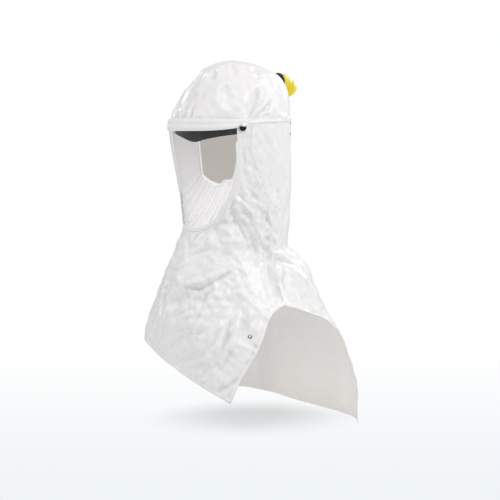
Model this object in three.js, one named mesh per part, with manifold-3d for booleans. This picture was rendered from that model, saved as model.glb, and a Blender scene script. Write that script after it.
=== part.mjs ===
// A loose-fitting air-fed hood: millimetres, +Z up, the wearer faces -Y, the wearer's left is +X.
// The origin is the middle of the head at the height of the temple snaps.
import * as THREE from "three";
import initManifold from "manifold-3d";

const solids = await initManifold();
solids.setup();

const GAP = 0.4;             // clear space between neighbouring pieces
const CLOTH = 1.2;           // cloth wall
const WINDOW = 1.0;          // clear sheet
const CROWN_TOP = 150;       // height of the crown over the snaps
const HEAD_WIDTH = 113;      // half the hood's width at the snaps
const VISOR_HALF = 61;       // degrees from the front to the window's side edge
const VISOR_DROP = 205;      // from the snaps down to the window's lower edge
const ARCH_TOP = -358;       // height where the shoulder arches start
const FRONT_HEM = -457;      // height of the front hem at the middle
const BACK_HEM = -629;       // height of the back hem
const FAR_REACH = 5;         // degrees by which the back panel comes further round on the right
const CROWN_SEAM = 21;       // height of the crown seam at the temples

const rad = (degrees) => (degrees * Math.PI) / 180;
const lerp = (a, b, k) => a + (b - a) * k;
const clamp = (x, lo, hi) => Math.min(hi, Math.max(lo, x));
const smooth = (lo, hi, x) => {
  const k = clamp((x - lo) / (hi - lo), 0, 1);
  return k * k * (3 - 2 * k);
};

// Reads a table of rows at x, where the first column is x, along a smooth curve through the rows.
function read(rows, x) {
  const last = rows.length - 1;
  const rising = rows[last][0] > rows[0][0] ? 1 : -1;
  let i = 0;
  while (i < last - 1 && (x - rows[i + 1][0]) * rising > 0) i += 1;
  const [a, b, c, d] = [rows[Math.max(i - 1, 0)], rows[i], rows[i + 1], rows[Math.min(i + 2, last)]];
  const k = clamp((x - b[0]) / (c[0] - b[0]), 0, 1);
  return b.slice(1).map((_, j) => {
    const column = j + 1;
    const slope = (p, q) => (q[0] === p[0] ? 0 : (q[column] - p[column]) / (q[0] - p[0]));
    const step = c[0] - b[0];
    const m0 = slope(a, c) * step;
    const m1 = slope(b, d) * step;
    const [k2, k3] = [k * k, k * k * k];
    return (2 * k3 - 3 * k2 + 1) * b[column] + (k3 - 2 * k2 + k) * m0
      + (3 * k2 - 2 * k3) * c[column] + (k3 - k2) * m1;
  });
}

// Level sections of the hood below the crown seam.
// Columns: height, half width, reach to the front, reach to the back,
// squareness in front, squareness behind.
const SECTIONS = [
  [30, HEAD_WIDTH, 148, 122, 2.1, 2.1],
  [0, HEAD_WIDTH, 149, 122, 2.15, 2.1],
  [-50, 111, 140, 124, 2.15, 2.1],
  [-100, 107, 130, 130, 2.1, 2.1],
  [-150, 103, 121, 129, 2.05, 2.1],
  [-200, 100, 117, 128, 2.0, 2.1],
  [-240, 98, 137, 124, 2.0, 2.1],
  [-252, 100, 144, 131, 2.0, 2.1],
  [-268, 109, 152, 154, 2.0, 2.2],
  [-300, 125, 163, 178, 2.0, 2.3],
  [-333, 143, 174, 182, 2.0, 2.4],
  [-365, 160, 184, 190, 2.0, 2.5],
  [-400, 178, 193, 200, 2.0, 2.7],
  [-440, 194, 196, 217, 2.0, 3.0],
  [-490, 205, 198, 227, 2.0, 3.3],
  [-550, 216, 203, 230, 2.0, 3.8],
  [-630, 221, 206, 230, 2.0, 4.0],
];

// Level sections of the crown. Columns: height as a share of CROWN_TOP, half width, front, back.
const CROWN_ROWS = [
  [0.08, HEAD_WIDTH, 148, 122],
  [0.27, 112, 139, 120],
  [0.44, 107, 124, 122],
  [0.61, 96, 109, 119],
  [0.79, 75, 89, 101],
  [0.87, 56, 69, 79],
  [0.945, 36, 45, 51],
  [0.985, 17, 21, 24],
  [1.0, 0, 0, 0],
];

// Folds of the hanging cloth, each a straight valley or ridge between two places on the hood.
// Columns: angle and height of one end, angle and height of the other,
// depth (minus is a valley), half width.
const FOLDS = [
  [2, -338, 26, -340, -7, 15],
  [26, -340, 48, -302, -8, 15],
  [8, -312, 34, -312, 6, 22],
  [46, -140, 78, -262, -6, 11],
  [57, -190, 80, -250, -5, 9],
  [66, -140, 88, -235, 5, 10],
  [88, -232, 98, -278, -7, 10],
  [82, -264, 128, -274, -6, 9],
  [88, -275, 92, -352, -7, 10],
  [100, -285, 128, -340, 5, 16],
  [30, -360, 38, -500, 4, 18],
  [8, -350, 14, -460, -4, 15],
  [-12, -330, -22, -440, 4, 16],
  [56, -350, 62, -430, -5, 13],
  [118, -300, 128, -560, 4, 20],
  [158, -280, 166, -600, -7, 22],
  [190, -270, 196, -600, 7, 24],
  [222, -300, 214, -600, -6, 20],
  [-40, -240, -62, -350, -6, 14],
  [-70, -225, -84, -330, 6, 14],
];
const FOLD_RADIUS = 150;     // turns degrees round the hood into millimetres for the folds

function relief(angle, z) {
  let sum = 0;
  for (const [a0, z0, a1, z1, depth, width] of FOLDS) {
    const apart = ((((angle - a0 + 180) % 360) + 360) % 360) - 180;
    const [px, py] = [rad(apart) * FOLD_RADIUS, z - z0];
    const [dx, dy] = [rad(a1 - a0) * FOLD_RADIUS, z1 - z0];
    const length = Math.hypot(dx, dy);
    const along = (px * dx + py * dy) / length;
    const across = (px * dy - py * dx) / length;
    const over = Math.max(-along, along - length, 0);
    sum += depth * Math.exp(-((across / width) ** 2) - (over / width) ** 2);
  }
  return sum;
}

// The hood's surface at an angle round from the front and a height, on the wearer's left for plus angles.
function body(angle, z) {
  const [half, front, back, squareFront, squareBack] = read(SECTIONS, z);
  const [s, c] = [Math.sin(rad(angle)), Math.cos(rad(angle))];
  const square = 2 / lerp(squareBack, squareFront, smooth(-0.4, 0.4, c));
  const x = half * Math.sign(s) * Math.abs(s) ** square;
  const y = -(c > 0 ? front : back) * Math.sign(c) * Math.abs(c) ** square;
  return new THREE.Vector3(x, y, z);
}

// A unit vector out of a surface given as a function of two numbers.
function outward(surface, u, v, du, dv) {
  const across = surface(u + du, v).sub(surface(u - du, v));
  const up = surface(u, v + dv).sub(surface(u, v - dv));
  return across.cross(up).normalize();
}
const bodyNormal = (angle, z) => outward(body, angle, z, 0.5, 1);

const draped = (angle, z, lift = 0, share = 1) =>
  body(angle, z).addScaledVector(bodyNormal(angle, z), lift + share * relief(angle, z));

function geometry(points, faces) {
  const made = new THREE.BufferGeometry();
  const numbers = points.flatMap((point) => point.toArray());
  made.setAttribute("position", new THREE.Float32BufferAttribute(numbers, 3));
  made.setIndex(faces.flat());
  let volume = 0;
  for (const [a, b, c] of faces) volume += points[a].dot(points[b].clone().cross(points[c]));
  if (volume < 0) made.setIndex(faces.flatMap(([a, b, c]) => [a, c, b]));
  return made;
}

// A thin wall between two grids of points, closed along its rims.
function wall(across, along, outer, inner) {
  const columns = across + 1;
  const points = [];
  for (const side of [outer, inner]) {
    for (let j = 0; j <= along; j += 1) {
      for (let i = 0; i < columns; i += 1) points.push(side(i / across, j / along));
    }
  }
  const at = (side, i, j) => (side * (along + 1) + j) * columns + i;
  const faces = [];
  const quad = (a, b, c, d) => {
    const short = points[a].distanceTo(points[c]) < points[b].distanceTo(points[d]);
    faces.push(...(short ? [[a, b, c], [a, c, d]] : [[a, b, d], [b, c, d]]));
  };
  for (let j = 0; j < along; j += 1) {
    for (let i = 0; i < across; i += 1) {
      quad(at(0, i, j), at(0, i + 1, j), at(0, i + 1, j + 1), at(0, i, j + 1));
      quad(at(1, i, j), at(1, i, j + 1), at(1, i + 1, j + 1), at(1, i + 1, j));
    }
  }
  for (let i = 0; i < across; i += 1) {
    quad(at(0, i, 0), at(1, i, 0), at(1, i + 1, 0), at(0, i + 1, 0));
    quad(at(0, i + 1, along), at(1, i + 1, along), at(1, i, along), at(0, i, along));
  }
  for (let j = 0; j < along; j += 1) {
    quad(at(0, 0, j + 1), at(1, 0, j + 1), at(1, 0, j), at(0, 0, j));
    quad(at(0, across, j), at(1, across, j), at(1, across, j + 1), at(0, across, j + 1));
  }
  return geometry(points, faces);
}

// A solid swept along a path: each station gives the closed outline's points in order.
function sweep(stations) {
  const sides = stations[0].length;
  const points = stations.flat();
  const faces = [];
  for (let j = 0; j < stations.length - 1; j += 1) {
    for (let i = 0; i < sides; i += 1) {
      const [a, b] = [j * sides + i, j * sides + ((i + 1) % sides)];
      faces.push([a, b, b + sides], [a, b + sides, a + sides]);
    }
  }
  const end = points.length - sides;
  for (let i = 1; i < sides - 1; i += 1) faces.push([0, i + 1, i], [end, end + i, end + i + 1]);
  return geometry(points, faces);
}

// A solid turned about +Z from a closed profile of [radius, height] points. Radius 0 is a pole.
function turned(profile, sides) {
  const points = [];
  const rings = profile.map(([r, z]) => {
    if (r === 0) return [points.push(new THREE.Vector3(0, 0, z)) - 1];
    return Array.from({ length: sides }, (_, i) => {
      const turn = (2 * Math.PI * i) / sides;
      return points.push(new THREE.Vector3(r * Math.cos(turn), r * Math.sin(turn), z)) - 1;
    });
  });
  const faces = [];
  rings.forEach((ring, k) => {
    const next = rings[(k + 1) % rings.length];
    if (ring.length === 1 && next.length === 1) return;
    for (let i = 0; i < sides; i += 1) {
      const j = (i + 1) % sides;
      if (ring.length > 1) faces.push([ring[i], ring[j], next[next.length > 1 ? j : 0]]);
      if (next.length > 1) faces.push([ring[ring.length > 1 ? i : 0], next[j], next[i]]);
    }
  });
  return geometry(points, faces);
}

// Stands a solid made about +Z on a place, with its +Z along a direction.
function stood(made, place, direction) {
  const turn = new THREE.Quaternion().setFromUnitVectors(new THREE.Vector3(0, 0, 1), direction);
  return made.applyQuaternion(turn).translate(place.x, place.y, place.z);
}

function toSolid(made) {
  return new solids.Manifold(new solids.Mesh({
    numProp: 3,
    vertProperties: new Float32Array(made.getAttribute("position").array),
    triVerts: new Uint32Array(made.getIndex().array),
  }));
}

function cut(made, ...tools) {
  let solid = toSolid(made);
  for (const tool of tools) solid = solid.subtract(toSolid(tool));
  const mesh = solid.getMesh();
  const result = new THREE.BufferGeometry();
  result.setAttribute("position", new THREE.Float32BufferAttribute(mesh.vertProperties, 3));
  result.setIndex([...mesh.triVerts]);
  return result;
}

// Where a line from outside meets a made panel, and the way that the face there looks.
function seatOn(made, angle, z) {
  const normal = bodyNormal(angle, z);
  const line = new THREE.Raycaster(draped(angle, z, 30), normal.clone().negate(), 0, 60);
  const [hit] = line.intersectObject(new THREE.Mesh(made));
  return [hit.point, hit.face.normal.clone()];
}

function rod(radius, length, sides, place, direction) {
  const half = length / 2;
  const profile = [[0, -half], [radius, -half], [radius, half], [0, half]];
  return stood(turned(profile, sides), place, direction);
}

const crownSeam = (angle) => {
  const turn = Math.abs(angle > 180 ? angle - 360 : angle);
  return 14 + (CROWN_SEAM - 14) * smooth(50, 88, turn) + 9 * smooth(80, 180, turn);
};

// The window's edge from its top corner to its lowest point.
// Columns: share of the way, angle as a share of VISOR_HALF, height as a share of VISOR_DROP.
const VISOR_EDGE = [
  [0, 1, 0.05],
  [0.1, 1, -0.13],
  [0.2, 1, -0.29],
  [0.3, 0.985, -0.44],
  [0.4, 0.92, -0.57],
  [0.5, 0.81, -0.67],
  [0.6, 0.71, -0.77],
  [0.7, 0.6, -0.865],
  [0.8, 0.43, -0.94],
  [0.9, 0.21, -0.988],
  [1, 0, -1],
];
function visorEdge(share) {
  const near = share < 0.5;
  const [turn, height] = read(VISOR_EDGE, near ? share * 2 : 2 - share * 2);
  return [(near ? 1 : -1) * turn * VISOR_HALF, height * VISOR_DROP];
}

// The front panel's outer edge from the top of the near side seam to the top of the far one.
// Columns: share of the way, angle, height.
const FRONT_EDGE = [
  [0, 74, CROWN_SEAM - 1],
  [0.05, 74, -43],
  [0.1, 84, -106],
  [0.15, 93, -169],
  [0.2, 98, -232],
  [0.25, 93, -295],
  [0.295, 91.2, -352],
  [0.3, 91, ARCH_TOP],
  [0.306, 88, -361],
  [0.34, 77, -384],
  [0.375, 65, -440],
  [0.41, 54, -492],
  [0.434, 48, -534],
  [0.44, 46.5, -543],
  [0.446, 43, -536],
  [0.47, 27, -507],
  [0.5, 9, -477],
  [0.53, -6, FRONT_HEM],
  [0.56, -22, -439],
  [0.595, -38, -421],
  [0.625, -52, -402],
  [0.66, -72, -374],
  [0.694, -88, -361],
  [0.7, -91, ARCH_TOP],
  [0.705, -91.2, -352],
  [0.75, -93, -295],
  [0.8, -98, -232],
  [0.85, -93, -169],
  [0.9, -84, -106],
  [0.95, -74, -43],
  [1, -74, CROWN_SEAM - 1],
];

// The back panel's side edge by height: the side seam, then the back of the shoulder arch.
// Columns: height, angle.
const BACK_EDGE = [
  [CROWN_SEAM, 74],
  [-43, 74],
  [-106, 84],
  [-169, 93],
  [-232, 98],
  [-295, 93],
  [-352, 91.2],
  [ARCH_TOP, 91],
  [-361, 93],
  [-374, 101],
  [-390, 113],
  [-415, 122],
  [-450, 128],
  [-520, 130],
  [BACK_HEM, 129],
];

const panel = (across, along, place, thickness) =>
  wall(across, along, (u, v) => place(u, v, 0), (u, v) => place(u, v, -thickness));

function frontPlace(u, v, lift) {
  const [innerAngle, innerZ] = visorEdge(u);
  const [outerAngle, outerZ] = read(FRONT_EDGE, u);
  const k = v ** 1.05;
  const side = Math.sign(0.5 - u);
  const inset = side * Math.min(1, Math.abs(0.5 - u) * 20);
  const angle = lerp(innerAngle + 0.35 * inset, outerAngle - 0.15 * inset, k);
  const z = Math.min(lerp(innerZ - 0.6, outerZ, k), crownSeam(angle) - 2 * GAP);
  return draped(angle, z, lift, smooth(0, 0.2, v));
}

const BACK_ROWS = 26;
const SEAM_SHARE = 15 / BACK_ROWS;   // the share of the back panel's rows that lies along the side seams
function backPlace(u, v, lift) {
  const z = v < SEAM_SHARE ? lerp(CROWN_SEAM, ARCH_TOP, v / SEAM_SHARE)
    : lerp(ARCH_TOP, BACK_HEM, (v - SEAM_SHARE) / (1 - SEAM_SHARE));
  const [edge] = read(BACK_EDGE, z);
  const angle = lerp(edge + 0.1, 360 - edge - 0.1 + FAR_REACH * smooth(-450, BACK_HEM, z), u);
  const rise = (crownSeam(angle) - 2 * GAP - CROWN_SEAM) * Math.max(0, 1 - v * 8);
  return draped(angle, z + rise, lift);
}

function crownBody(angle, share) {
  const start = crownSeam(angle) / CROWN_TOP;
  const level = start + (1 - start) * Math.sin(rad(90 * share));
  const [half, front, back] = read(CROWN_ROWS, level);
  const [s, c] = [Math.sin(rad(angle)), Math.cos(rad(angle))];
  const square = 2 / 2.12;
  const x = half * Math.sign(s) * Math.abs(s) ** square;
  const y = -(c > 0 ? front : back) * Math.sign(c) * Math.abs(c) ** square;
  return new THREE.Vector3(x, y, level * CROWN_TOP);
}

// Gathers above the brow: small upright pleats that die out up the crown.
const GATHERS = 12;
const GATHER_DEPTH = 1.6;    // half the depth of a pleat
function crownPlace(u, v, lift) {
  const [angle, share] = [360 * u, v * 0.985];
  const normal = outward(crownBody, angle, Math.min(share, 0.96), 0.5, 0.01);
  const wave = Math.cos(rad(angle * GATHERS)) - 1;
  const pleat = GATHER_DEPTH * wave * Math.sin(Math.PI * clamp(share * 2.2, 0, 1));
  return crownBody(angle, share).addScaledVector(normal, lift + pleat);
}

// The crown: rings of points outside and inside, each side closed at its top by one point.
function crown() {
  const [columns, rows] = [48, 7];
  const points = [];
  const faces = [];
  const index = [0, 1].map((side) => {
    const rings = Array.from({ length: rows }, (_, j) => Array.from({ length: columns }, (__, i) =>
      points.push(crownPlace(i / columns, j / rows, -side * CLOTH)) - 1));
    rings.push([points.push(new THREE.Vector3(0, 0, CROWN_TOP - side * CLOTH)) - 1]);
    return rings;
  });
  for (const [side, rings] of index.entries()) {
    for (let j = 0; j < rows; j += 1) {
      for (let i = 0; i < columns; i += 1) {
        const k = (i + 1) % columns;
        const [a, b] = [rings[j][i], rings[j][k]];
        const made = rings[j + 1].length === 1 ? [[a, b, rings[j + 1][0]]]
          : [[a, b, rings[j + 1][k]], [a, rings[j + 1][k], rings[j + 1][i]]];
        faces.push(...(side ? made.map(([p, q, r]) => [p, r, q]) : made));
      }
    }
  }
  for (let i = 0; i < columns; i += 1) {
    const k = (i + 1) % columns;
    const [a, b, c, d] = [index[0][0][i], index[0][0][k], index[1][0][k], index[1][0][i]];
    faces.push([a, c, b], [a, d, c]);
  }
  return geometry(points, faces);
}

function visorPlace(u, v, lift) {
  const share = 0.5 * v;
  const [edge, z] = visorEdge(share);
  const side = Math.max(edge - 0.35, 0.2);
  const angle = lerp(side, -side, u);
  const top = crownSeam(angle) - 2 * GAP;
  return body(angle, v === 0 ? top : Math.min(z + 0.4, top)).addScaledVector(bodyNormal(angle, z), lift);
}

// A tape along the window's edge between two shares of the way round, as high as lift over the hood.
function strip(samples, lift, halfWidth, thickness, from, to) {
  const stations = [];
  for (let i = 0; i <= samples; i += 1) {
    const share = lerp(from, to, i / samples);
    const [angle, z] = visorEdge(share);
    const normal = bodyNormal(angle, z);
    const [a2, z2] = visorEdge(share + 0.004);
    const [a1, z1] = visorEdge(share - 0.004);
    const ahead = body(a2, z2).sub(body(a1, z1)).normalize();
    const side = ahead.clone().cross(normal).normalize();
    const turning = body(angle + 0.5, z).sub(body(angle - 0.5, z));
    const put = (across, out) => {
      const at = [angle + (across * side.dot(turning)) / turning.lengthSq(), z + across * side.z];
      return body(...at).addScaledVector(bodyNormal(...at), out);
    };
    stations.push([put(-halfWidth, lift), put(halfWidth, lift), put(halfWidth, lift + thickness * 0.7),
      put(0, lift + thickness), put(-halfWidth, lift + thickness * 0.7)]);
  }
  return sweep(stations);
}

// The brow band's outline across: a rounded lower lip, a groove and an upper roll.
// Columns: share of the band's height, thickness over the window.
const BAND_PROFILE = [
  [0, 1.8],
  [0.14, 3.4],
  [0.36, 3.6],
  [0.5, 2.6],
  [0.64, 3.1],
  [0.88, 2.7],
  [1, 1.6],
];
const BAND_HALF = 71;        // degrees from the front to the band's end
function browBand() {
  const stations = [];
  const steps = 22;
  for (let i = 0; i <= steps; i += 1) {
    const angle = lerp(BAND_HALF, -BAND_HALF, i / steps);
    const ends = Math.abs(angle / BAND_HALF) ** 2;
    const [low, high] = [1 + 11 * ends * ends, 27 - 3 * ends];
    const put = (share, out) => {
      const z = lerp(low, high, share);
      return body(angle, z).addScaledVector(bodyNormal(angle, z), out);
    };
    stations.push([put(0, 0.8), ...BAND_PROFILE.map(([share, out]) => put(share, out)), put(1, 0.8)]);
  }
  return sweep(stations);
}

const SEAL_LIFT = -WINDOW - 1.2; // from the hood's surface in to the seal's outer face
const RIM_HALF = 64;         // half the width of the face opening
const RIM_DEPTH = -46;       // the face opening's place in front of the head's middle
// The face opening's rim from its near top to the chin.
// Columns: share of the way round, half width as a share of RIM_HALF, height.
const RIM = [
  [0, 1.0, -10],
  [0.15, 1.0, -38],
  [0.3, 1.0, -64],
  [0.45, 0.98, -82],
  [0.6, 0.9, -96],
  [0.75, 0.7, -106],
  [0.9, 0.3, -111],
  [1, 0, -113],
];
function rim(share) {
  const near = share < 0.5;
  const [half, z] = read(RIM, near ? share * 2 : 2 - share * 2);
  return new THREE.Vector3((near ? 1 : -1) * half * RIM_HALF, RIM_DEPTH + 4 * (1 - half), z);
}
function sealMiddle(u, v) {
  const share = lerp(0.035, 0.965, u);
  const [angle, z] = visorEdge(share);
  const outer = body(angle * 0.97, z * (z < 0 ? 0.985 : 1));
  outer.addScaledVector(bodyNormal(angle, z), SEAL_LIFT);
  const inner = rim(share);
  const place = outer.lerp(inner, v);
  const fold = 1.8 * Math.sin(rad(360 * 7 * share)) * Math.sin(Math.PI * v);
  return place.add(new THREE.Vector3(0, 0.6, -0.8).multiplyScalar(fold + 5 * Math.sin(Math.PI * v)));
}
function sealPlace(u, v, lift) {
  const normal = outward(sealMiddle, clamp(u, 0.01, 0.99), clamp(v, 0.01, 0.99), 0.01, 0.01);
  return sealMiddle(u, v).addScaledVector(normal, lift);
}

function tube(samples, sides, radius, centre) {
  const stations = [];
  for (let i = 0; i <= samples; i += 1) {
    const k = i / samples;
    const ahead = centre(k + 0.005).sub(centre(k - 0.005)).normalize();
    const across = ahead.clone().cross(new THREE.Vector3(0, 1, 0)).normalize();
    const up = across.clone().cross(ahead);
    stations.push(Array.from({ length: sides }, (_, j) => {
      const turn = (2 * Math.PI * j) / sides;
      return centre(k).addScaledVector(across, radius * Math.cos(turn))
        .addScaledVector(up, radius * Math.sin(turn));
    }));
  }
  return sweep(stations);
}
const ROLL = 3.4;            // radius of the elastic roll behind the seal's rim
const rollCentre = (k) => rim(lerp(0.12, 0.88, k)).add(new THREE.Vector3(0, ROLL, 1));

const BAND_THICK = 3;
const BAND_TALL = 25;
// The sweatband seen from above.
// Columns: share of the way from end to end, across as a share of HEAD_WIDTH, forward, height of the lower edge.
const SWEATBAND = [
  [0, 0.885, -50, -4],
  [0.06, 0.858, -63, -5],
  [0.14, 0.796, -81, -7],
  [0.22, 0.673, -96, -10],
  [0.36, 0.354, -107, -16],
  [0.5, 0, -108, -22],
  [0.64, -0.354, -107, -13],
  [0.78, -0.673, -98, -5],
  [0.86, -0.796, -82, -3],
  [0.94, -0.858, -63, -3],
  [1, -0.885, -50, -3],
];
function sweatband() {
  const at = (u) => {
    const [across, forward, low] = read(SWEATBAND, Math.min(Math.max(u, 0), 1));
    return new THREE.Vector3(across * HEAD_WIDTH, forward, low);
  };
  const place = (u, v, back) => {
    const along = at(u + 0.01).sub(at(u - 0.01));
    const normal = new THREE.Vector3(along.y, -along.x, 0).normalize();
    return at(u).add(new THREE.Vector3(0, 0, BAND_TALL * v)).addScaledVector(normal, -back);
  };
  return wall(18, 1, (u, v) => place(u, v, 0), (u, v) => place(u, v, BAND_THICK));
}

const SNAP_ANGLE = 65.8;
const SNAP_HEIGHT = 8;
const SNAP_RADIUS = 7.5;
const POST = 2;
function snapPlace(side) {
  const angle = side * SNAP_ANGLE;
  return [body(angle, SNAP_HEIGHT), bodyNormal(angle, SNAP_HEIGHT)];
}
const SNAP_SEAT = 4.2;       // from the hood's surface out to the underside of the dome
const SNAP_PROFILE = [
  [0, -11], [POST, -11], [POST, SNAP_SEAT], [SNAP_RADIUS, SNAP_SEAT], [SNAP_RADIUS, SNAP_SEAT + 1.2],
  [SNAP_RADIUS * 0.88, SNAP_SEAT + 2.4], [SNAP_RADIUS * 0.55, SNAP_SEAT + 3.6], [0, SNAP_SEAT + 4.2],
];

const STUD_PROFILE = [[0, -1.5], [1, -1.5], [1, 0.35], [2.3, 0.35], [1.9, 1.4], [0, 1.8]];
const STUD_ANGLE = 131;
const STUD_HEIGHTS = [["back_stud_upper", 18], ["back_stud_lower", -5]];

const EYELET_ANGLE = 62;
const EYELET_HEIGHT = -411;
const EYELET_PROFILE = [
  [2.3, -CLOTH - 1.0], [4.4, -CLOTH - 1.0], [4.4, -CLOTH - 0.3], [3.0, -CLOTH - 0.3],
  [3.0, 0.3], [4.5, 0.3], [4.2, 1.0], [2.6, 1.0],
];

const INLET_HEIGHT = 106;    // height of the boss that passes through the crown
const BOSS_RADIUS = 21.5;
const BORE = 15;
const BOSS_FROM = 88;
const BOSS_TO = 125;
const BOSS_RING = 3.5;       // thickness of the ring at the boss's outer end
const BOSS_NECK = 17.5;      // radius of the boss where it passes through the cloth
const ELBOW_RADIUS = 21;
const ELBOW_TURN = 50;       // degrees down from level
const ELBOW_BEND = 22;       // radius of the bend's middle line
const ELBOW_REACH = 17;      // straight length after the bend
const COLLAR = 2;            // step out at the mouth
function elbow() {
  const sides = 20;
  const stations = [];
  const ring = (place, tilt, radius) => Array.from({ length: sides }, (_, i) => {
    const turn = (2 * Math.PI * i) / sides;
    const [x, up] = [radius * Math.cos(turn), radius * Math.sin(turn)];
    return new THREE.Vector3(x, place.y + up * Math.sin(rad(tilt)), place.z + up * Math.cos(rad(tilt)));
  });
  const middle = (tilt, ahead) => new THREE.Vector3(0,
    BOSS_TO + GAP + ELBOW_BEND * Math.sin(rad(tilt)) + ahead * Math.cos(rad(tilt)),
    INLET_HEIGHT - ELBOW_BEND * (1 - Math.cos(rad(tilt))) - ahead * Math.sin(rad(tilt)));
  const bend = [0, 0.25, 0.5, 0.75, 1].map((share) => [share * ELBOW_TURN, 0]);
  const path = [...bend, [ELBOW_TURN, 0.5], [ELBOW_TURN, 0.51], [ELBOW_TURN, ELBOW_REACH]];
  const outer = path.map(([tilt, ahead], i) =>
    ring(middle(tilt, ahead), tilt, ELBOW_RADIUS + (i > 5 ? COLLAR : 0)));
  const inner = path.filter((_, i) => i !== 5 && i !== 6).reverse()
    .map(([tilt, ahead]) => ring(middle(tilt, ahead), tilt, BORE));
  stations.push(...outer, ...inner);
  const points = stations.flat();
  const faces = [];
  for (let j = 0; j < stations.length; j += 1) {
    const next = ((j + 1) % stations.length) * sides;
    for (let i = 0; i < sides; i += 1) {
      const k = (i + 1) % sides;
      faces.push([j * sides + i, j * sides + k, next + k], [j * sides + i, next + k, next + i]);
    }
  }
  return geometry(points, faces);
}

const BACKWARD = new THREE.Vector3(0, 1, 0);
function boss() {
  const long = BOSS_TO - BOSS_FROM;
  const profile = [[BORE, 0], [BOSS_NECK, 0], [BOSS_NECK, long - BOSS_RING],
    [BOSS_RADIUS, long - BOSS_RING],
    [BOSS_RADIUS, long], [BORE, long]];
  return stood(turned(profile, 24), new THREE.Vector3(0, BOSS_FROM, INLET_HEIGHT), BACKWARD);
}

const CLOTH_LOOK = { color: 0xe9eaeb, roughness: 0.55, metalness: 0 };
const LOOKS = {
  cloth: CLOTH_LOOK,
  lining: { color: 0xdedcd6, roughness: 0.7, metalness: 0 },
  trim: { color: 0xf1f2f2, roughness: 0.5, metalness: 0 },
  clear: { color: 0xdfe4e6, roughness: 0.1, metalness: 0, transparent: true, opacity: 0.35 },
  black: { color: 0x141416, roughness: 0.6, metalness: 0 },
  chrome: { color: 0xb9bcc0, roughness: 0.2, metalness: 1 },
  yellow: { color: 0xe6c41e, roughness: 0.45, metalness: 0 },
};

const hood = new THREE.Group();
hood.name = "respirator_hood";
function add(name, made, look) {
  const mesh = new THREE.Mesh(made, new THREE.MeshStandardMaterial(LOOKS[look]));
  mesh.name = name;
  hood.add(mesh);
}

const postHoles = [1, -1].map((side) => {
  const [place, normal] = snapPlace(side);
  return rod(POST + 0.4, 40, 10, place, normal);
});
const snapHoles = () => postHoles.map((hole) => hole.clone());
const inletHole = rod(BOSS_NECK + GAP, 60, 24, new THREE.Vector3(0, 120, INLET_HEIGHT), BACKWARD);

const backCloth = panel(24, BACK_ROWS, backPlace, CLOTH);
const frontCloth = panel(50, 12, frontPlace, CLOTH);
const studSeats = STUD_HEIGHTS.map(([, z]) => seatOn(backCloth, STUD_ANGLE, z));
const eyeletSeat = seatOn(frontCloth, EYELET_ANGLE, EYELET_HEIGHT);
const studHoles = studSeats.map((seat) => rod(1.3, 12, 8, ...seat));
const eyeletHole = rod(3.3, 12, 12, ...eyeletSeat);

add("crown", cut(crown(), inletHole), "cloth");
add("back_panel", cut(backCloth, ...studHoles), "cloth");
add("front_panel", cut(frontCloth, ...snapHoles(), eyeletHole), "cloth");
add("brow_band", cut(browBand(), ...snapHoles()), "trim");
add("visor", panel(18, 11, visorPlace, WINDOW), "clear");
add("visor_binding", strip(36, 0.75, 3.6, 1.1, 0.04, 0.96), "trim");
add("face_seal", panel(32, 4, sealPlace, CLOTH), "lining");
add("seal_roll", tube(20, 6, ROLL, rollCentre), "trim");
add("sweatband", cut(sweatband(), ...snapHoles()), "black");
for (const [name, side] of [["temple_snap_left", 1], ["temple_snap_right", -1]]) {
  add(name, stood(turned(SNAP_PROFILE, 14), ...snapPlace(side)), "chrome");
}
STUD_HEIGHTS.forEach(([name], i) => add(name, stood(turned(STUD_PROFILE, 8), ...studSeats[i]), "black"));
add("inlet_boss", boss(), "black");
add("inlet_elbow", elbow(), "yellow");
add("eyelet", stood(turned(EYELET_PROFILE, 12), ...eyeletSeat), "chrome");

export default hood;
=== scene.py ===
# A supplied-air hood of white coated cloth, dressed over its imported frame. Tables are in millimetres and
# degrees: an angle goes round from the front, plus towards the left shoulder, and a height is over the
# temple snaps.
import math

import bmesh
import bpy
import numpy as np
from mathutils import Matrix, Vector


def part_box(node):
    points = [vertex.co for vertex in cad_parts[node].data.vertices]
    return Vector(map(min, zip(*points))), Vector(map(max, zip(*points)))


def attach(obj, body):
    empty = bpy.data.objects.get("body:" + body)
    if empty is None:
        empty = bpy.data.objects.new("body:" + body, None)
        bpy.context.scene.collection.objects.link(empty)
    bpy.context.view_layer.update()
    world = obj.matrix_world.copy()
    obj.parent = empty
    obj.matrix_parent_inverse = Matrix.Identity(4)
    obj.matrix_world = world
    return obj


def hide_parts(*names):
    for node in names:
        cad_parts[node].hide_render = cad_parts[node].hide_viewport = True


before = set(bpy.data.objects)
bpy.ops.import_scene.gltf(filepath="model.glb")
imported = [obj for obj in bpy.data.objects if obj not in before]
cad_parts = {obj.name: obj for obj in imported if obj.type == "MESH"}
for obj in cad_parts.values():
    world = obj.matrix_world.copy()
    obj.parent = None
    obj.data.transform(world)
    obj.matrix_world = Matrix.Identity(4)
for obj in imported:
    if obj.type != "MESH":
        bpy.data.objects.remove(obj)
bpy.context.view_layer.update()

MM = 0.001

# The hood's sizes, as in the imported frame.
CROWN_TOP = 150
CROWN_SEAM = 21
HEAD_WIDTH = 113
VISOR_HALF = 61
VISOR_DROP = 205
ARCH_TOP = -358
BACK_HEM = -629
FAR_REACH = 5
FAR_HEM_RISE = 15            # how much higher the back hem hangs at its far corner
CLOTH = 1.0                  # thickness of the cloth
SEAL_CLOTH = 0.8             # thickness of the face seal's cloth
FILM = 0.5                   # thickness of the window
HEM = 9                      # width of the folded hems
LAP = 3                      # overlap of the sewn seams
TAPE_BACK = 0.75             # from the window's face out to the back of its tape
EYELET_ANGLE = 62
EYELET_HEIGHT = -411
ACROSS_VIEW = (0.643, 0.766, 0)      # level, to the right where the window is seen from its left front
ALONG_VIEW = (-0.766, 0.643, 0)      # level, away from there

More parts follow.
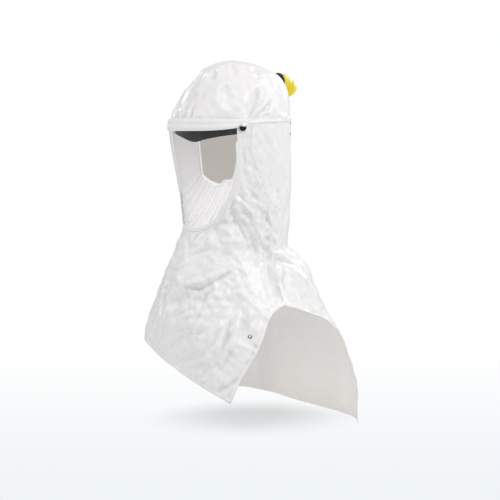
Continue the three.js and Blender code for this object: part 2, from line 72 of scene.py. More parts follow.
# Level sections of the body, from just over the crown seam down.
# Columns: height, half width, reach to the front, reach to the back, squareness in front, squareness behind.
SECTIONS = [
    (30, HEAD_WIDTH, 148, 122, 2.1, 2.1),
    (0, HEAD_WIDTH, 149, 122, 2.15, 2.1),
    (-50, 111, 140, 124, 2.15, 2.1),
    (-100, 107, 130, 130, 2.1, 2.1),
    (-150, 103, 121, 129, 2.05, 2.1),
    (-200, 100, 117, 128, 2.0, 2.1),
    (-240, 98, 137, 124, 2.0, 2.1),
    (-252, 100, 144, 131, 2.0, 2.1),
    (-268, 109, 152, 154, 2.0, 2.2),
    (-300, 125, 163, 178, 2.0, 2.3),
    (-333, 143, 174, 182, 2.0, 2.4),
    (-365, 160, 184, 190, 2.0, 2.5),
    (-400, 178, 193, 200, 2.0, 2.7),
    (-440, 194, 196, 217, 2.0, 3.0),
    (-490, 205, 198, 227, 2.0, 3.3),
    (-550, 216, 203, 230, 2.0, 3.8),
    (-630, 221, 206, 230, 2.0, 4.0),
]

# Level sections of the crown. Columns: height as a share of CROWN_TOP, half width, front, back.
CROWN_ROWS = [
    (0.08, HEAD_WIDTH, 148, 122),
    (0.27, 112, 139, 120),
    (0.44, 107, 124, 122),
    (0.61, 96, 109, 119),
    (0.79, 75, 89, 101),
    (0.87, 56, 69, 79),
    (0.945, 36, 45, 51),
    (0.985, 17, 21, 24),
    (1.0, 0, 0, 0),
]

# The window's edge from its top corner to its lowest point.
# Columns: share of the way, angle as a share of VISOR_HALF, height as a share of VISOR_DROP.
VISOR_EDGE = [
    (0, 1, 0.05),
    (0.1, 1, -0.13),
    (0.2, 1, -0.29),
    (0.3, 0.985, -0.44),
    (0.4, 0.92, -0.57),
    (0.5, 0.81, -0.67),
    (0.6, 0.71, -0.77),
    (0.7, 0.6, -0.865),
    (0.8, 0.43, -0.94),
    (0.9, 0.21, -0.988),
    (1, 0, -1),
]

# The side seam's part of the front panel's outer edge, under the crown seam.
# Columns: share of the way round the whole edge, angle, height.
SIDE_SEAM = [
    (0.05, 74, -43),
    (0.1, 84, -106),
    (0.15, 93, -169),
    (0.2, 98, -232),
    (0.25, 93, -295),
    (0.295, 91.2, -352),
    (0.3, 91, ARCH_TOP),
]

# The front panel's outer edge from the top of the near side seam to the top of the far one. Columns as above.
FRONT_EDGE = [
    (0, 74, CROWN_SEAM - 1),
    *SIDE_SEAM,
    (0.306, 88, -361),
    (0.34, 77, -384),
    (0.375, 65, -440),
    (0.41, 54, -492),
    (0.434, 48, -534),
    (0.44, 46.5, -543),
    (0.446, 43, -536),
    (0.47, 27, -507),
    (0.5, 9, -477),
    (0.53, -6, -457),
    (0.56, -22, -439),
    (0.595, -38, -421),
    (0.625, -52, -402),
    (0.66, -72, -374),
    (0.694, -88, -361),
    *[(1 - share, -angle, height) for share, angle, height in reversed(SIDE_SEAM)],
    (1, -74, CROWN_SEAM - 1),
]

# The back panel's side edge by height: the side seam, then the back of the shoulder arch.
# Columns: height, angle.
BACK_EDGE = [
    (CROWN_SEAM, 74),
    *[(height, angle) for _, angle, height in SIDE_SEAM],
    (-361, 93),
    (-374, 101),
    (-390, 113),
    (-415, 122),
    (-450, 128),
    (-520, 130),
    (BACK_HEM, 129),
]

# The broad folds that the frame's cloth has too.
# Columns: angle and height of one end, angle and height of the other, depth (minus is a valley), half width.
FOLDS = [
    (2, -338, 26, -340, -3, 15),
    (26, -340, 48, -302, -3.5, 13),
    (8, -306, 36, -306, 7, 22),
    (46, -140, 78, -262, -4, 10),
    (57, -190, 80, -250, -3, 8),
    (66, -140, 88, -235, 5, 9),
    (88, -232, 98, -278, -5, 9),
    (82, -264, 128, -274, -4, 8),
    (88, -275, 92, -352, -4, 9),
    (100, -285, 128, -340, 4, 16),
    (30, -360, 38, -500, 4, 18),
    (8, -350, 14, -460, -4, 15),
    (-12, -330, -22, -440, 4, 16),
    (56, -350, 62, -430, -5, 13),
    (118, -300, 128, -560, 4, 20),
    (158, -280, 166, -600, -7, 22),
    (190, -270, 196, -600, 7, 24),
    (222, -300, 214, -600, -6, 20),
    (-40, -240, -62, -350, -6, 14),
    (-70, -225, -84, -330, 6, 14),
]
FOLD_RADIUS = 150

# Sharp creases of the body cloth, each along a line of places.
# Columns: depth (minus is a valley), reach on the line's left, reach on its right, places as (angle, height).
CREASES = [
    (-3.0, 10, 9, [(52, -150), (56, -182), (64, -207), (74, -230), (83, -252)]),
    (-2.6, 9, 8, [(66, -112), (78, -137), (88, -156)]),
    (-2.4, 9, 8, [(57, -124), (68, -147), (78, -170)]),
    (-4.2, 9, 13, [(60, -172), (68, -203), (76, -224), (83, -246), (92, -262)]),
    (3.2, 9, 9, [(54, -156), (60, -186), (69, -216), (80, -247)]),
    (2.8, 7, 9, [(62, -140), (66, -152), (72, -170)]),
    (3.0, 8, 9, [(76, -166), (81, -177), (89, -198)]),
    (-3.4, 10, 8, [(80, -154), (93, -182), (99, -208)]),
    (-3.6, 9, 10, [(90, -214), (98, -230), (108, -242)]),
    (-4.5, 12, 12, [(84, -226), (88, -234), (98, -256)]),
    (-4.0, 10, 8, [(84, -250), (95, -260), (107, -271), (116, -290)]),
    (3.6, 8, 12, [(100, -250), (104, -256), (109, -265), (116, -282)]),
    (-3.6, 9, 8, [(90, -266), (89, -303), (90, -327), (91, -350)]),
    (-2.6, 8, 9, [(102, -286), (97, -310), (93, -334)]),
    (-2.8, 4, 7, [(10, -316), (16, -318), (30, -320), (36, -311), (44, -300), (53, -289), (62, -274)]),
    (3.2, 22, 4, [(14, -311), (30, -313), (42, -297), (56, -279)]),
    (-3.0, 10, 10, [(38, -318), (33, -341), (31, -364), (27, -396)]),
    (2.6, 8, 8, [(44, -318), (40, -336), (36, -350)]),
    (-1.8, 9, 9, [(54, -308), (54, -325), (55, -345)]),
    (3.0, 9, 8, [(60, -348), (55, -389), (51, -417), (47, -450)]),
    (-2.8, 10, 9, [(53, -366), (49, -398), (45, -427), (42, -458)]),
    (2.0, 8, 9, [(66, -352), (64, -390), (61, -420)]),
    (2.4, 8, 9, [(47, -390), (43, -420), (39, -448)]),
    (-2.2, 9, 9, [(50, -430), (45, -460), (43, -478)]),
    (-1.8, 7, 10, [(53, -488), (46, -508), (37, -524)]),
    (-2.0, 8, 8, [(-8, -300), (-7, -349), (-2, -396)]),
    (-1.6, 8, 8, [(17, -308), (19, -328), (19, -348)]),
    (3.0, 10, 9, [(14, -240), (17, -220), (22, -203)]),
    (2.6, 8, 9, [(26, -206), (32, -223), (28, -236)]),
    (-2.4, 9, 9, [(30, -190), (38, -215), (48, -238)]),
    (3.2, 9, 10, [(46, -196), (54, -215), (52, -233), (50, -252)]),
    (-2.4, 8, 8, [(28, -196), (36, -190), (50, -184)]),
    (-2.2, 8, 8, [(-6, -206), (8, -238), (12, -250)]),
    (-2.4, 9, 9, [(2, -246), (14, -249), (25, -247), (40, -236)]),
    (-2.6, 8, 8, [(56, -134), (51, -160), (49, -188)]),
    (2.2, 9, 9, [(76, -82), (85, -121), (93, -158)]),
    (-1.6, 8, 8, [(103, -116), (107, -150)]),
    (1.6, 9, 9, [(116, -140), (113, -180)]),
    (-1.6, 9, 10, [(64, -28), (66, -52), (70, -80)]),
    (1.4, 8, 8, [(68, -44), (69, -66), (73, -92)]),
    (-1.3, 8, 8, [(64, -74), (68, -96), (74, -118)]),
    (1.6, 8, 8, [(62, -96), (66, -116), (73, -140)]),
    (1.4, 12, 12, [(24, -372), (20, -410), (17, -450)]),
    (-1.4, 12, 12, [(2, -360), (0, -410), (-4, -444)]),
    (-2.4, 12, 12, [(132, -290), (136, -400), (136, -520)]),
    (2.2, 14, 12, [(148, -268), (152, -380), (152, -560)]),
    (-2.2, 12, 14, [(176, -262), (180, -390), (182, -580)]),
    (2.4, 12, 14, [(206, -266), (206, -390), (206, -590)]),
    (-2.0, 14, 12, [(236, -290), (232, -420), (232, -540)]),
    (-2.4, 8, 9, [(-52, -150), (-58, -190), (-72, -232)]),
    (2.6, 9, 8, [(-60, -150), (-70, -190), (-84, -246)]),
    (-3.0, 9, 10, [(-74, -160), (-86, -206), (-96, -256)]),
    (2.2, 8, 9, [(-86, -170), (-96, -214), (-104, -262)]),
    (-2.6, 10, 9, [(-92, -262), (-90, -300), (-91, -348)]),
    (2.2, 10, 9, [(-56, -262), (-60, -310), (-64, -362)]),
    (-2.0, 9, 10, [(-30, -250), (-38, -300), (-42, -360)]),
]

# Small chance creases, by zone of the body cloth. Columns: low and high angle, low and high height, how many,
# shortest and longest, shallowest and deepest, narrowest and widest reach, usual slope and its spread.
CRUMPLES = [
    ((52, 112), (-270, -120), 95, (16, 52), (0.5, 1.7), (4.5, 9), -56, 34),
    ((58, 78), (-120, 10), 34, (16, 44), (0.3, 0.9), (4.5, 9), -70, 34),
    ((-50, 62), (-330, -205), 120, (16, 56), (0.5, 1.6), (5, 10), -80, 48),
    ((-60, 76), (-520, -325), 95, (24, 90), (0.4, 1.3), (6, 13), 78, 26),
    ((78, 130), (-350, -262), 40, (18, 60), (0.5, 1.4), (5, 11), 60, 34),
    ((96, 262), (-250, 10), 60, (20, 80), (0.25, 0.8), (6, 13), 86, 30),
    ((130, 232), (-620, -250), 95, (30, 120), (0.4, 1.4), (8, 17), 88, 16),
    ((-112, -52), (-270, -120), 60, (16, 60), (0.5, 1.6), (5, 10), 56, 34),
    ((-78, -58), (-120, 10), 18, (16, 44), (0.3, 0.8), (5, 9), 70, 34),
    ((-130, -60), (-360, -262), 40, (18, 60), (0.5, 1.4), (5, 11), 120, 34),
]

# Creases of the crown. Columns as in CREASES, but for heights: shares of the way from the seam to the top.
CROWN_CREASES = [
    (-4.2, 12, 8, [(69, 0.0), (74, 0.13), (79, 0.25), (84, 0.4)]),
    (3.0, 8, 8, [(71, 0.0), (77, 0.09), (84, 0.16), (91, 0.24)]),
    (-3.4, 8, 8, [(72, 0.0), (80, 0.06), (88, 0.12), (97, 0.24)]),
    (3.4, 7, 8, [(73, 0.0), (84, 0.06), (92, 0.11)]),
    (-4.6, 6, 9, [(74, 0.01), (83, 0.045), (92, 0.085)]),
    (-2.0, 7, 7, [(80, 0.0), (92, 0.015), (104, 0.02)]),
    (2.6, 9, 9, [(2, 0.02), (-2, 0.16), (-6, 0.28)]),
    (-3.0, 8, 8, [(6, 0.01), (3, 0.12), (0, 0.24)]),
    (2.4, 7, 7, [(11, 0.01), (9, 0.1), (6, 0.18)]),
    (-2.8, 7, 7, [(15, 0.02), (12, 0.13), (10, 0.22)]),
    (2.2, 7, 7, [(19, 0.02), (16, 0.1), (15, 0.16)]),
    (-2.4, 8, 8, [(-8, 0.01), (-12, 0.12), (-14, 0.24)]),
    (2.4, 12, 12, [(24, 0.74), (30, 0.6), (35, 0.5)]),
    (-2.2, 11, 11, [(50, 0.8), (56, 0.62), (56, 0.46)]),
    (-1.8, 9, 9, [(48, 0.41), (42, 0.37), (35, 0.33)]),
    (-2.8, 10, 14, [(74, 0.74), (88, 0.62), (112, 0.7)]),
    (-1.8, 8, 9, [(100, 0.64), (92, 0.54), (85, 0.45)]),
    (1.7, 9, 8, [(76, 0.4), (75, 0.34), (73, 0.28)]),
    (1.6, 9, 9, [(88, 0.34), (80, 0.22)]),
    (-2.0, 9, 9, [(121, 0.5), (114, 0.42), (106, 0.33)]),
    (2.0, 9, 8, [(104, 0.08), (112, 0.03), (120, 0.06)]),
    (-2.2, 10, 10, [(20, 0.44), (26, 0.56), (20, 0.66)]),
    (1.8, 10, 10, [(8, 0.36), (14, 0.5), (12, 0.6)]),
    (-1.8, 10, 10, [(-70, 0.0), (-78, 0.16), (-84, 0.34)]),
    (1.8, 10, 10, [(-74, 0.0), (-84, 0.12), (-94, 0.22)]),
    (-2.0, 10, 10, [(-90, 0.66), (-120, 0.6), (-150, 0.68)]),
    (2.0, 12, 12, [(150, 0.06), (160, 0.2), (164, 0.36)]),
    (-2.0, 12, 12, [(200, 0.04), (196, 0.22), (194, 0.4)]),
]
GATHERS = 12
GATHER_DEPTH = 1.6

# How deep each kind of fold is pressed, as a share of its table's depths.
CREASE_SHARE = 1.5
CRUMPLE_SHARE = 0.7
CROWN_CREASE_SHARE = 1.7
CROWN_CRUMPLE_SHARE = 0.25
CROWN_PRESSED_SHARE = 0.42
BODY_PRESSED_SHARE = 0.3

# What the zones of the body cloth add to BODY_PRESSED_SHARE.
# Columns: share, turn from the front (low, high, fade), height (low, high, fade).
PRESSED_ZONES = [
    (0.75, (44, 112, 12), (-285, -125, 30)),
    (0.7, (-1, 66, 12), (-345, -200, 24)),
    (0.35, (-1, 78, 12), (-560, -340, 24)),
    (0.25, (56, 80, 6), (-130, 10, 20)),
    (0.3, (84, 130, 8), (-380, -255, 20)),
]
# The cloth's painted fold shade and highlight are full at MARK_LIFT under and over the mean around them.
MARK_LIFT = 0.45             # height over the mean around it at which a ridge is marked in full


def smooth(low, high, x):
    k = np.clip((x - low) / (high - low), 0, 1)
    return k * k * (3 - 2 * k)


def lerp(a, b, k):
    return a + (b - a) * k


def unit(ways):
    return ways / np.linalg.norm(ways, axis=-1, keepdims=True)


def swell(off, reach):
    """A soft ridge: 1 in its middle, gone beyond about twice its reach."""
    return np.exp(-((off / reach) ** 2))


def pucker(run, off, depth, step, drift, reach):
    """Small uneven gathers along a seam, by the run along it and the distance off its middle."""
    return depth * np.sin(run / step + 2 * np.sin(run / drift)) * swell(off, reach)


def end_taper(count, rows):
    """A column that rises from 0 at both ends of a run of places to 1 within some rows."""
    i = np.arange(count)
    return np.clip(np.minimum(i, i[::-1]) / rows, 0, 1)[:, None] ** 0.5


def read(rows, x):
    """Reads a table of rows at x, where the first column is x, along a smooth curve through the rows."""
    rows, x = np.asarray(rows, float), np.asarray(x, float)
    rising = np.sign(rows[-1, 0] - rows[0, 0])
    i = np.clip(np.searchsorted(rows[:, 0] * rising, x * rising) - 1, 0, len(rows) - 2)
    a, b, c, d = rows[np.maximum(i - 1, 0)], rows[i], rows[i + 1], rows[np.minimum(i + 2, len(rows) - 1)]
    step = c[..., :1] - b[..., :1]
    k = np.clip((x[..., None] - b[..., :1]) / step, 0, 1)
    leaving, arriving = (c - a) / (c - a)[..., :1] * step, (d - b) / (d - b)[..., :1] * step
    made = (2 * k**3 - 3 * k**2 + 1) * b + (k**3 - 2 * k**2 + k) * leaving
    made += (3 * k**2 - 2 * k**3) * c + (k**3 - k**2) * arriving
    return np.moveaxis(made[..., 1:], -1, 0)


def rounded(angle, half, front, back, square, z):
    s, c = np.sin(np.radians(angle)), np.cos(np.radians(angle))
    x = half * np.sign(s) * np.abs(s) ** square
    y = -np.where(c > 0, front, back) * np.sign(c) * np.abs(c) ** square
    return np.stack([x, y, z + 0 * x], axis=-1)


def body(angle, z):
    """The hood's plain surface at an angle and a height."""
    angle, z = np.broadcast_arrays(np.asarray(angle, float), np.asarray(z, float))
    half, front, back, square_front, square_back = read(SECTIONS, z)
    square = 2 / lerp(square_back, square_front, smooth(-0.4, 0.4, np.cos(np.radians(angle))))
    return rounded(angle, half, front, back, square, z)


def outward(surface, u, v, du, dv):
    """Unit vectors out of a surface given as a function of two numbers."""
    return unit(np.cross(surface(u + du, v) - surface(u - du, v), surface(u, v + dv) - surface(u, v - dv)))


def body_out(angle, z):
    return outward(body, angle, z, 0.5, 1)


def crown_seam(angle):
    turn = np.abs((np.asarray(angle, float) + 180) % 360 - 180)
    return 14 + (CROWN_SEAM - 14) * smooth(50, 88, turn) + 9 * smooth(80, 180, turn)


def crown_body(angle, share):
    """The crown's plain surface at an angle and a share of the way up from the seam."""
    start = crown_seam(angle) / CROWN_TOP
    level = start + (1 - start) * np.sin(np.radians(90 * share))
    half, front, back = read(CROWN_ROWS, level)
    return rounded(angle, half, front, back, 2 / 2.12, level * CROWN_TOP)


def window_edge(share):
    near = share < 0.5
    turn, height = read(VISOR_EDGE, np.where(near, share * 2, 2 - share * 2))
    return np.where(near, 1, -1) * turn * VISOR_HALF, height * VISOR_DROP


def broad_folds(angle, z):
    total = 0
    for a0, z0, a1, z1, depth, width in FOLDS:
        px, pz = np.radians((angle - a0 + 180) % 360 - 180) * FOLD_RADIUS, z - z0
        dx, dz = math.radians(a1 - a0) * FOLD_RADIUS, z1 - z0
        length = math.hypot(dx, dz)
        along, across = (px * dx + pz * dz) / length, (px * dz - pz * dx) / length
        over = np.maximum(np.maximum(-along, along - length), 0)
        total = total + depth * np.exp(-((across / width) ** 2) - (over / width) ** 2)
    return total


def creased(angle, height, rows, radius, rise):
    """Sum of sharp creases. Radius turns angles, and rise heights, into millimetres."""
    total = np.zeros(angle.shape)
    for depth, left, right, places in rows:
        line = np.array(places, float)
        middle = line.mean(axis=0)
        scale = radius(middle[1])
        line = np.stack([np.radians(line[:, 0] - middle[0]) * scale, (line[:, 1] - middle[1]) * rise], axis=1)
        px = np.radians((angle - middle[0] + 180) % 360 - 180) * scale
        pz = (height - middle[1]) * rise
        reach = max(left, right)
        low, high = line.min(axis=0) - reach, line.max(axis=0) + reach
        near = (px > low[0]) & (px < high[0]) & (pz > low[1]) & (pz < high[1])
        px, pz = px[near], pz[near]
        off, side, share = np.full(px.shape, 1e9), np.zeros(px.shape), np.zeros(px.shape)
        legs = np.linalg.norm(np.diff(line, axis=0), axis=1)
        for i, leg in enumerate(legs):
            way = (line[i + 1] - line[i]) / leg
            dx, dz = px - line[i, 0], pz - line[i, 1]
            along = np.clip(dx * way[0] + dz * way[1], 0, leg)
            away = np.hypot(dx - along * way[0], dz - along * way[1])
            closer = away < off
            side = np.where(closer, way[0] * dz - way[1] * dx, side)
            share = np.where(closer, (legs[:i].sum() + along) / legs.sum(), share)
            off = np.where(closer, away, off)
        ends = smooth(0, 0.3, share) * smooth(0, 0.3, 1 - share)
        width = np.where(side > 0, left, right) * (0.45 + 0.55 * ends)
        total[near] += depth * ends * np.maximum(0, 1 - (np.hypot(off, 0.8) - 0.8) / width) ** 1.2
    return total


def chance_creases(zones, seed, radius):
    """Rows for creased(), drawn by chance in each zone."""
    draw = np.random.default_rng(seed)
    rows = []
    for angles, heights, count, lengths, depths, reaches, slope, spread in zones:
        for _ in range(count):
            angle, height = draw.uniform(*angles), draw.uniform(*heights)
            half = draw.uniform(*lengths) / 2
            turn = math.radians(draw.normal(slope, spread))
            step = (math.degrees(half * math.cos(turn) / radius(height)), half * math.sin(turn))
            bend = draw.normal(0, 0.12)
            depth = draw.uniform(*depths) * draw.choice([-1, 1])
            off = (-math.degrees(step[1] * bend / radius(height)), half * math.cos(turn) * bend)
            rows.append((depth, draw.uniform(*reaches), draw.uniform(*reaches), [
                (angle - step[0], height - step[1]),
                (angle + off[0], height + off[1]),
                (angle + step[0], height + step[1]),
            ]))
    return rows


def body_radius(z):
    return float(read(SECTIONS, z)[0]) * 1.08


CRUMPLE_ROWS = chance_creases(CRUMPLES, 11, body_radius)


def body_relief(angle, z, base):
    """All that stands over the body cloth's broad folds, but for its seams and hems."""
    side = np.abs((angle + 180) % 360 - 180)
    amount = BODY_PRESSED_SHARE + sum(
        share * zone(side, *turns) * zone(z, *heights) for share, turns, heights in PRESSED_ZONES)
    sharp = CREASE_SHARE * creased(angle, z, CREASES, body_radius, 1)
    sharp += CRUMPLE_SHARE * creased(angle, z, CRUMPLE_ROWS, body_radius, 1)
    return sharp + amount * pressed_folds(base, 3)


def ripples(points, draw, length):
    """A smooth chance field from -1 to 1 that changes over about the given length."""
    field = 0
    for _ in range(4):
        way = draw.normal(size=3)
        way *= draw.uniform(0.7, 1.4) * 2 * math.pi / (length * np.linalg.norm(way))
        field = field + np.sin(points @ way + draw.uniform(0, 6.28))
    return field / 2.2


# Pressed folds all over the cloth, in patches. Columns: spacing, depth.
PRESSED = [(96, 4.2), (74, 3.6), (60, 3.2), (50, 2.8), (42, 2.6),
           (36, 2.2), (30, 2.0), (26, 1.8), (22, 1.5), (18, 1.2)]


def pressed_folds(points, seed):
    """Straight sharp folds in chance directions, each set of them only in patches."""
    draw = np.random.default_rng(seed)
    total = 0
    for spacing, depth in PRESSED:
        way = unit(draw.normal(size=3) * (1, 1, 0.8))
        place = points @ way + 0.3 * spacing * ripples(points, draw, 3.4 * spacing)
        wave = np.abs((place / spacing + draw.uniform()) % 1 * 2 - 1)
        patch = smooth(-0.15, 0.75, ripples(points, draw, 2.6 * spacing + 60))
        total = total + depth * (wave - 0.5) * patch
    return total


def zone(x, low, high, fade):
    return smooth(low - fade, low + fade, x) * smooth(high + fade, high - fade, x)


def run_lengths(points, axis):
    """Distances along a grid of points from its first row or column."""
    steps = np.linalg.norm(np.diff(points, axis=axis), axis=-1)
    return np.insert(np.cumsum(steps, axis=axis), 0, 0, axis=axis)


def hem_relief(edge, along):
    """A folded hem, by distance from the cloth's edge: a raised strip, sewn down at its inner side."""
    strip = 1.3 * smooth(HEM + 1.2, HEM - 0.6, edge)
    return strip - swell(edge - HEM + 2, 0.9) + pucker(along, edge - HEM, 0.35, 3.1, 17, 5)


def grid(across, along):
    return np.meshgrid(np.linspace(0, 1, across + 1), np.linspace(0, 1, along + 1))


# The mask of the cloth's painted shade in the valleys and painted highlight on the ridges.
def fold_shading_mask(lift):
    """-1 in the valleys to 1 on the ridges of a relief on a grid: its height over the mean around it."""
    mean = np.pad(lift, 1, mode="edge")
    mean = (mean[:-2] + mean[1:-1] + mean[2:]) / 3
    mean = (mean[:, :-2] + mean[:, 1:-1] + mean[:, 2:]) / 3
    return np.clip((lift - mean) / MARK_LIFT, -1, 1)


def finish_piece(mesh, name, finishes, node):
    """Makes a bmesh a piece of the hood: its object and finishes, hung from the root body, with the CAD node
    that it stands for hidden.
    """
    made = bpy.data.meshes.new(name)
    mesh.to_mesh(made)
    mesh.free()
    for finish in finishes:
        made.materials.append(finish)
    made.polygons.foreach_set("use_smooth", [True] * len(made.polygons))
    piece = bpy.data.objects.new(name, made)
    bpy.context.scene.collection.objects.link(piece)
    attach(piece, "root")
    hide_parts(node)
    return piece


def placed_grid(points, marks=None, joined=False, inside=(0, 0, -0.2)):
    """A grid whose vertices lie at points, given in millimetres, with its faces looking away from inside."""
    rows, columns = points.shape[0] - 1, points.shape[1] - 1
    mesh = bmesh.new()
    bmesh.ops.create_grid(mesh, x_segments=columns, y_segments=rows, size=1)
    layers = {mark: mesh.verts.layers.float.new(mark) for mark in (marks or {})}
    for vert in mesh.verts:
        i, j = round((vert.co.x + 1) / 2 * columns), round((vert.co.y + 1) / 2 * rows)
        for mark, layer in layers.items():
            vert[layer] = float(marks[mark][j, i])
        vert.co = points[j, i] * MM
    if joined:
        bmesh.ops.remove_doubles(mesh, verts=mesh.verts, dist=2e-6)
    mesh.normal_update()
    inside = Vector(inside)
    looks = sum(face.normal.dot(face.calc_center_median() - inside) * face.calc_area() for face in mesh.faces)
    if looks < 0:
        bmesh.ops.reverse_faces(mesh, faces=mesh.faces)
    return mesh


def walled(piece, thickness, both=True):
    """Gives a sheet its thickness inwards; the inner face takes the piece's second finish."""
    wall = piece.modifiers.new("wall", "SOLIDIFY")
    wall.thickness, wall.offset, wall.use_rim = thickness * MM, -1, True
    wall.material_offset = 1 if both else 0
    return piece


# Finishes.
class Level:
    """A number or colour that varies over a surface. Sums written with it add the nodes they need."""

    def __init__(self, finish, socket):
        self.finish, self.socket = finish, socket

    def sum(self, operation, first, second):
        return self.finish.node("ShaderNodeMath", {"operation": operation}, {0: first, 1: second})

    def __add__(self, other):
        return self.sum("ADD", self, other)

    def __sub__(self, other):
        return self.sum("SUBTRACT", self, other)

    def __rsub__(self, other):
        return self.sum("SUBTRACT", other, self)

    def __mul__(self, other):
        return self.sum("MULTIPLY", self, other)

    def __truediv__(self, other):
        return self.sum("DIVIDE", self, other)

    def __pow__(self, other):
        return self.sum("POWER", self, other)

    __radd__, __rmul__ = __add__, __mul__

    def at_least(self, other):
        return self.sum("MAXIMUM", self, other)

    def at_most(self, other):
        return self.sum("MINIMUM", self, other)

    def share(self):
        """The same, kept between 0 and 1."""
        return self.at_least(0.0).at_most(1.0)


class Finish:
    """A material under way."""

    def __init__(self, name):
        self.material = bpy.data.materials.new(name)
        self.material.use_nodes = True
        self.tree = self.material.node_tree
        self.tree.nodes.clear()
        self.object_place = self.node("ShaderNodeTexCoord", out="Object")

    def node(self, kind, settings=None, sockets=None, out=0):
        made = self.tree.nodes.new(kind)
        for name, setting in (settings or {}).items():
            setattr(made, name, setting)
        for name, value in (sockets or {}).items():
            if isinstance(value, Level):
                self.tree.links.new(value.socket, made.inputs[name])
            else:
                made.inputs[name].default_value = value
        return Level(self, made.outputs[out]) if made.outputs else None

    def along(self, way):
        """How far along a direction a place lies, in metres."""
        return self.node("ShaderNodeVectorMath", {"operation": "DOT_PRODUCT"}, {0: self.object_place, 1: way},
                         out="Value")

    def up(self):
        return self.node("ShaderNodeSeparateXYZ", sockets={0: self.object_place}, out="Z")

    def noise(self, scale, detail=3, rough=0.5, place=None, out=0):
        sockets = {"Vector": place or self.object_place, "Scale": scale, "Detail": detail, "Roughness": rough}
        return self.node("ShaderNodeTexNoise", sockets=sockets, out=out)

    def wandering(self, scale, amount):
        """Object places moved about by noise, so that straight cells turn irregular."""
        shift = self.node("ShaderNodeVectorMath", {"operation": "SUBTRACT"},
                          {0: self.noise(scale, 2, out="Color"), 1: (0.5, 0.5, 0.5)})
        shift = self.node("ShaderNodeVectorMath", {"operation": "SCALE"}, {0: shift, "Scale": amount})
        return self.node("ShaderNodeVectorMath", {"operation": "ADD"}, {0: self.object_place, 1: shift})

    def crinkle(self, scale, width, place):
        """1 on the lines between irregular cells, falling to 0 at width, a share of a cell."""
        away = self.node("ShaderNodeTexVoronoi", {"feature": "DISTANCE_TO_EDGE"},
                         {"Vector": place, "Scale": scale})
        return 1 - (away / width).at_most(1.0)

    def ridges(self, scale, place):
        """Sharp-edged folds: noise turned back on itself where it crosses its middle."""
        level = self.noise(scale, 2, 0.45, place)
        return self.node("ShaderNodeMath", {"operation": "ABSOLUTE"}, {0: level - 0.5})

    def pressed(self, way, spacing):
        """Straight slopes that meet in sharp edges across a direction, in metres: 0 to 1 and back."""
        bent = self.along(way) / spacing + 2.6 * self.noise(0.22 / spacing, 1)
        return self.node("ShaderNodeMath", {"operation": "PINGPONG"}, {0: bent, 1: 1.0})

    def patches(self, scale):
        """0 to 1, so that a relief only shows here and there."""
        return ((self.noise(scale, 2) - 0.4) * 4.0).share()

    def blend(self, share, first, second):
        return self.node("ShaderNodeMix", {"data_type": "RGBA"}, {0: share, 6: first, 7: second}, out=2)

    def mark(self, name):
        return self.node("ShaderNodeAttribute", {"attribute_name": name}, out="Fac")

    def bump(self, height, depth, under=None):
        sockets = {"Height": height, "Distance": depth * MM, "Strength": 1.0}
        if under:
            sockets["Normal"] = under
        return self.node("ShaderNodeBump", sockets=sockets)

    def surface(self, **sockets):
        named = {name if name == "IOR" else name.replace("_", " ").title(): value
                 for name, value in sockets.items()}
        face = self.node("ShaderNodeBsdfPrincipled", sockets=named)
        self.node("ShaderNodeOutputMaterial", sockets={"Surface": face})
        return self.material


def shade(r, g, b):
    return (r, g, b, 1.0)


# Sharp folds pressed into the coated cloth. Columns: direction across them, spacing and depth in millimetres.
PRESSED_SMALL = [
    ((0.82, 0.5, 0.28), 31, 5.0),
    ((0.5, -0.78, 0.38), 23, 4.0),
    ((-0.34, 0.84, -0.42), 17, 3.0),
    ((0.86, 0.1, -0.5), 13, 2.1),
    ((0.25, 0.62, 0.74), 10, 1.5),
    ((0.7, -0.33, 0.63), 7.5, 1.1),
]


def coated_cloth():
    """White coated nonwoven: glossy, with crisp pressed folds, a faint swirl of fibres, and painted shade and
    highlights along its folds.
    """
    finish = Finish("coated_cloth")
    amount = 0.5 + ((-0.08 - finish.up()) / 0.1).share() * 0.35
    folds = 0
    for way, spacing, depth in PRESSED_SMALL:
        folds = finish.pressed(way, spacing * MM) * (finish.patches(0.16 / (spacing * MM)) * depth) + folds
    relief = finish.bump(finish.noise(520, 5, 0.7), 0.04)
    relief = finish.bump(folds * amount, 1, relief)
    # Painted shade darkens the colour in the relief's valleys, and a painted highlight lightens it on the
    # ridges.
    fold = finish.mark("fold")
    tint = finish.blend(finish.noise(5, 3), shade(0.885, 0.872, 0.856), shade(0.905, 0.878, 0.895))
    tint = finish.blend((fold * -0.32).at_least(0.0), tint, shade(0.6, 0.595, 0.59))
    colour = finish.blend(fold.at_least(0.0) * 0.5, tint, shade(0.97, 0.965, 0.97))
    return finish.surface(base_color=colour, roughness=0.26 + 0.16 * finish.noise(60, 3), normal=relief,
                          coat_weight=0.42, coat_roughness=0.13)


def cloth_inside():
    """The cloth's uncoated back: matt, a little warmer, with a painted glow for light through the cloth, more
    high up and most low down on one side.
    """
    finish = Finish("cloth_inside")
    place = finish.wandering(22, 0.012)
    sharp = finish.crinkle(46, 0.16, place) * finish.noise(14, 2)
    colour = finish.blend(finish.noise(14, 4), shade(0.84, 0.815, 0.785), shade(0.88, 0.86, 0.835))
    relief = finish.bump(sharp, 0.6, finish.bump(finish.noise(600, 4, 0.7), 0.06))
    relief = finish.bump(finish.ridges(20, place), 2.4, relief)
    # Painted glow: a share everywhere, a little more high up, and most low down on the side across the view.
    up = finish.up()
    high = ((up + 0.33) / 0.15).share()
    low = ((-0.36 - up) / 0.2).share() * ((finish.along(ACROSS_VIEW) - 0.07) / 0.1).share()
    lit = (0.37 + 0.08 * high + 0.63 * low).at_most(1.0)
    through = finish.blend(lit, shade(0, 0, 0), shade(1, 0.965, 0.925))
    return finish.surface(base_color=colour, roughness=0.62 + 0.1 * finish.noise(80, 2), normal=relief,
                          emission_color=through, emission_strength=0.2)


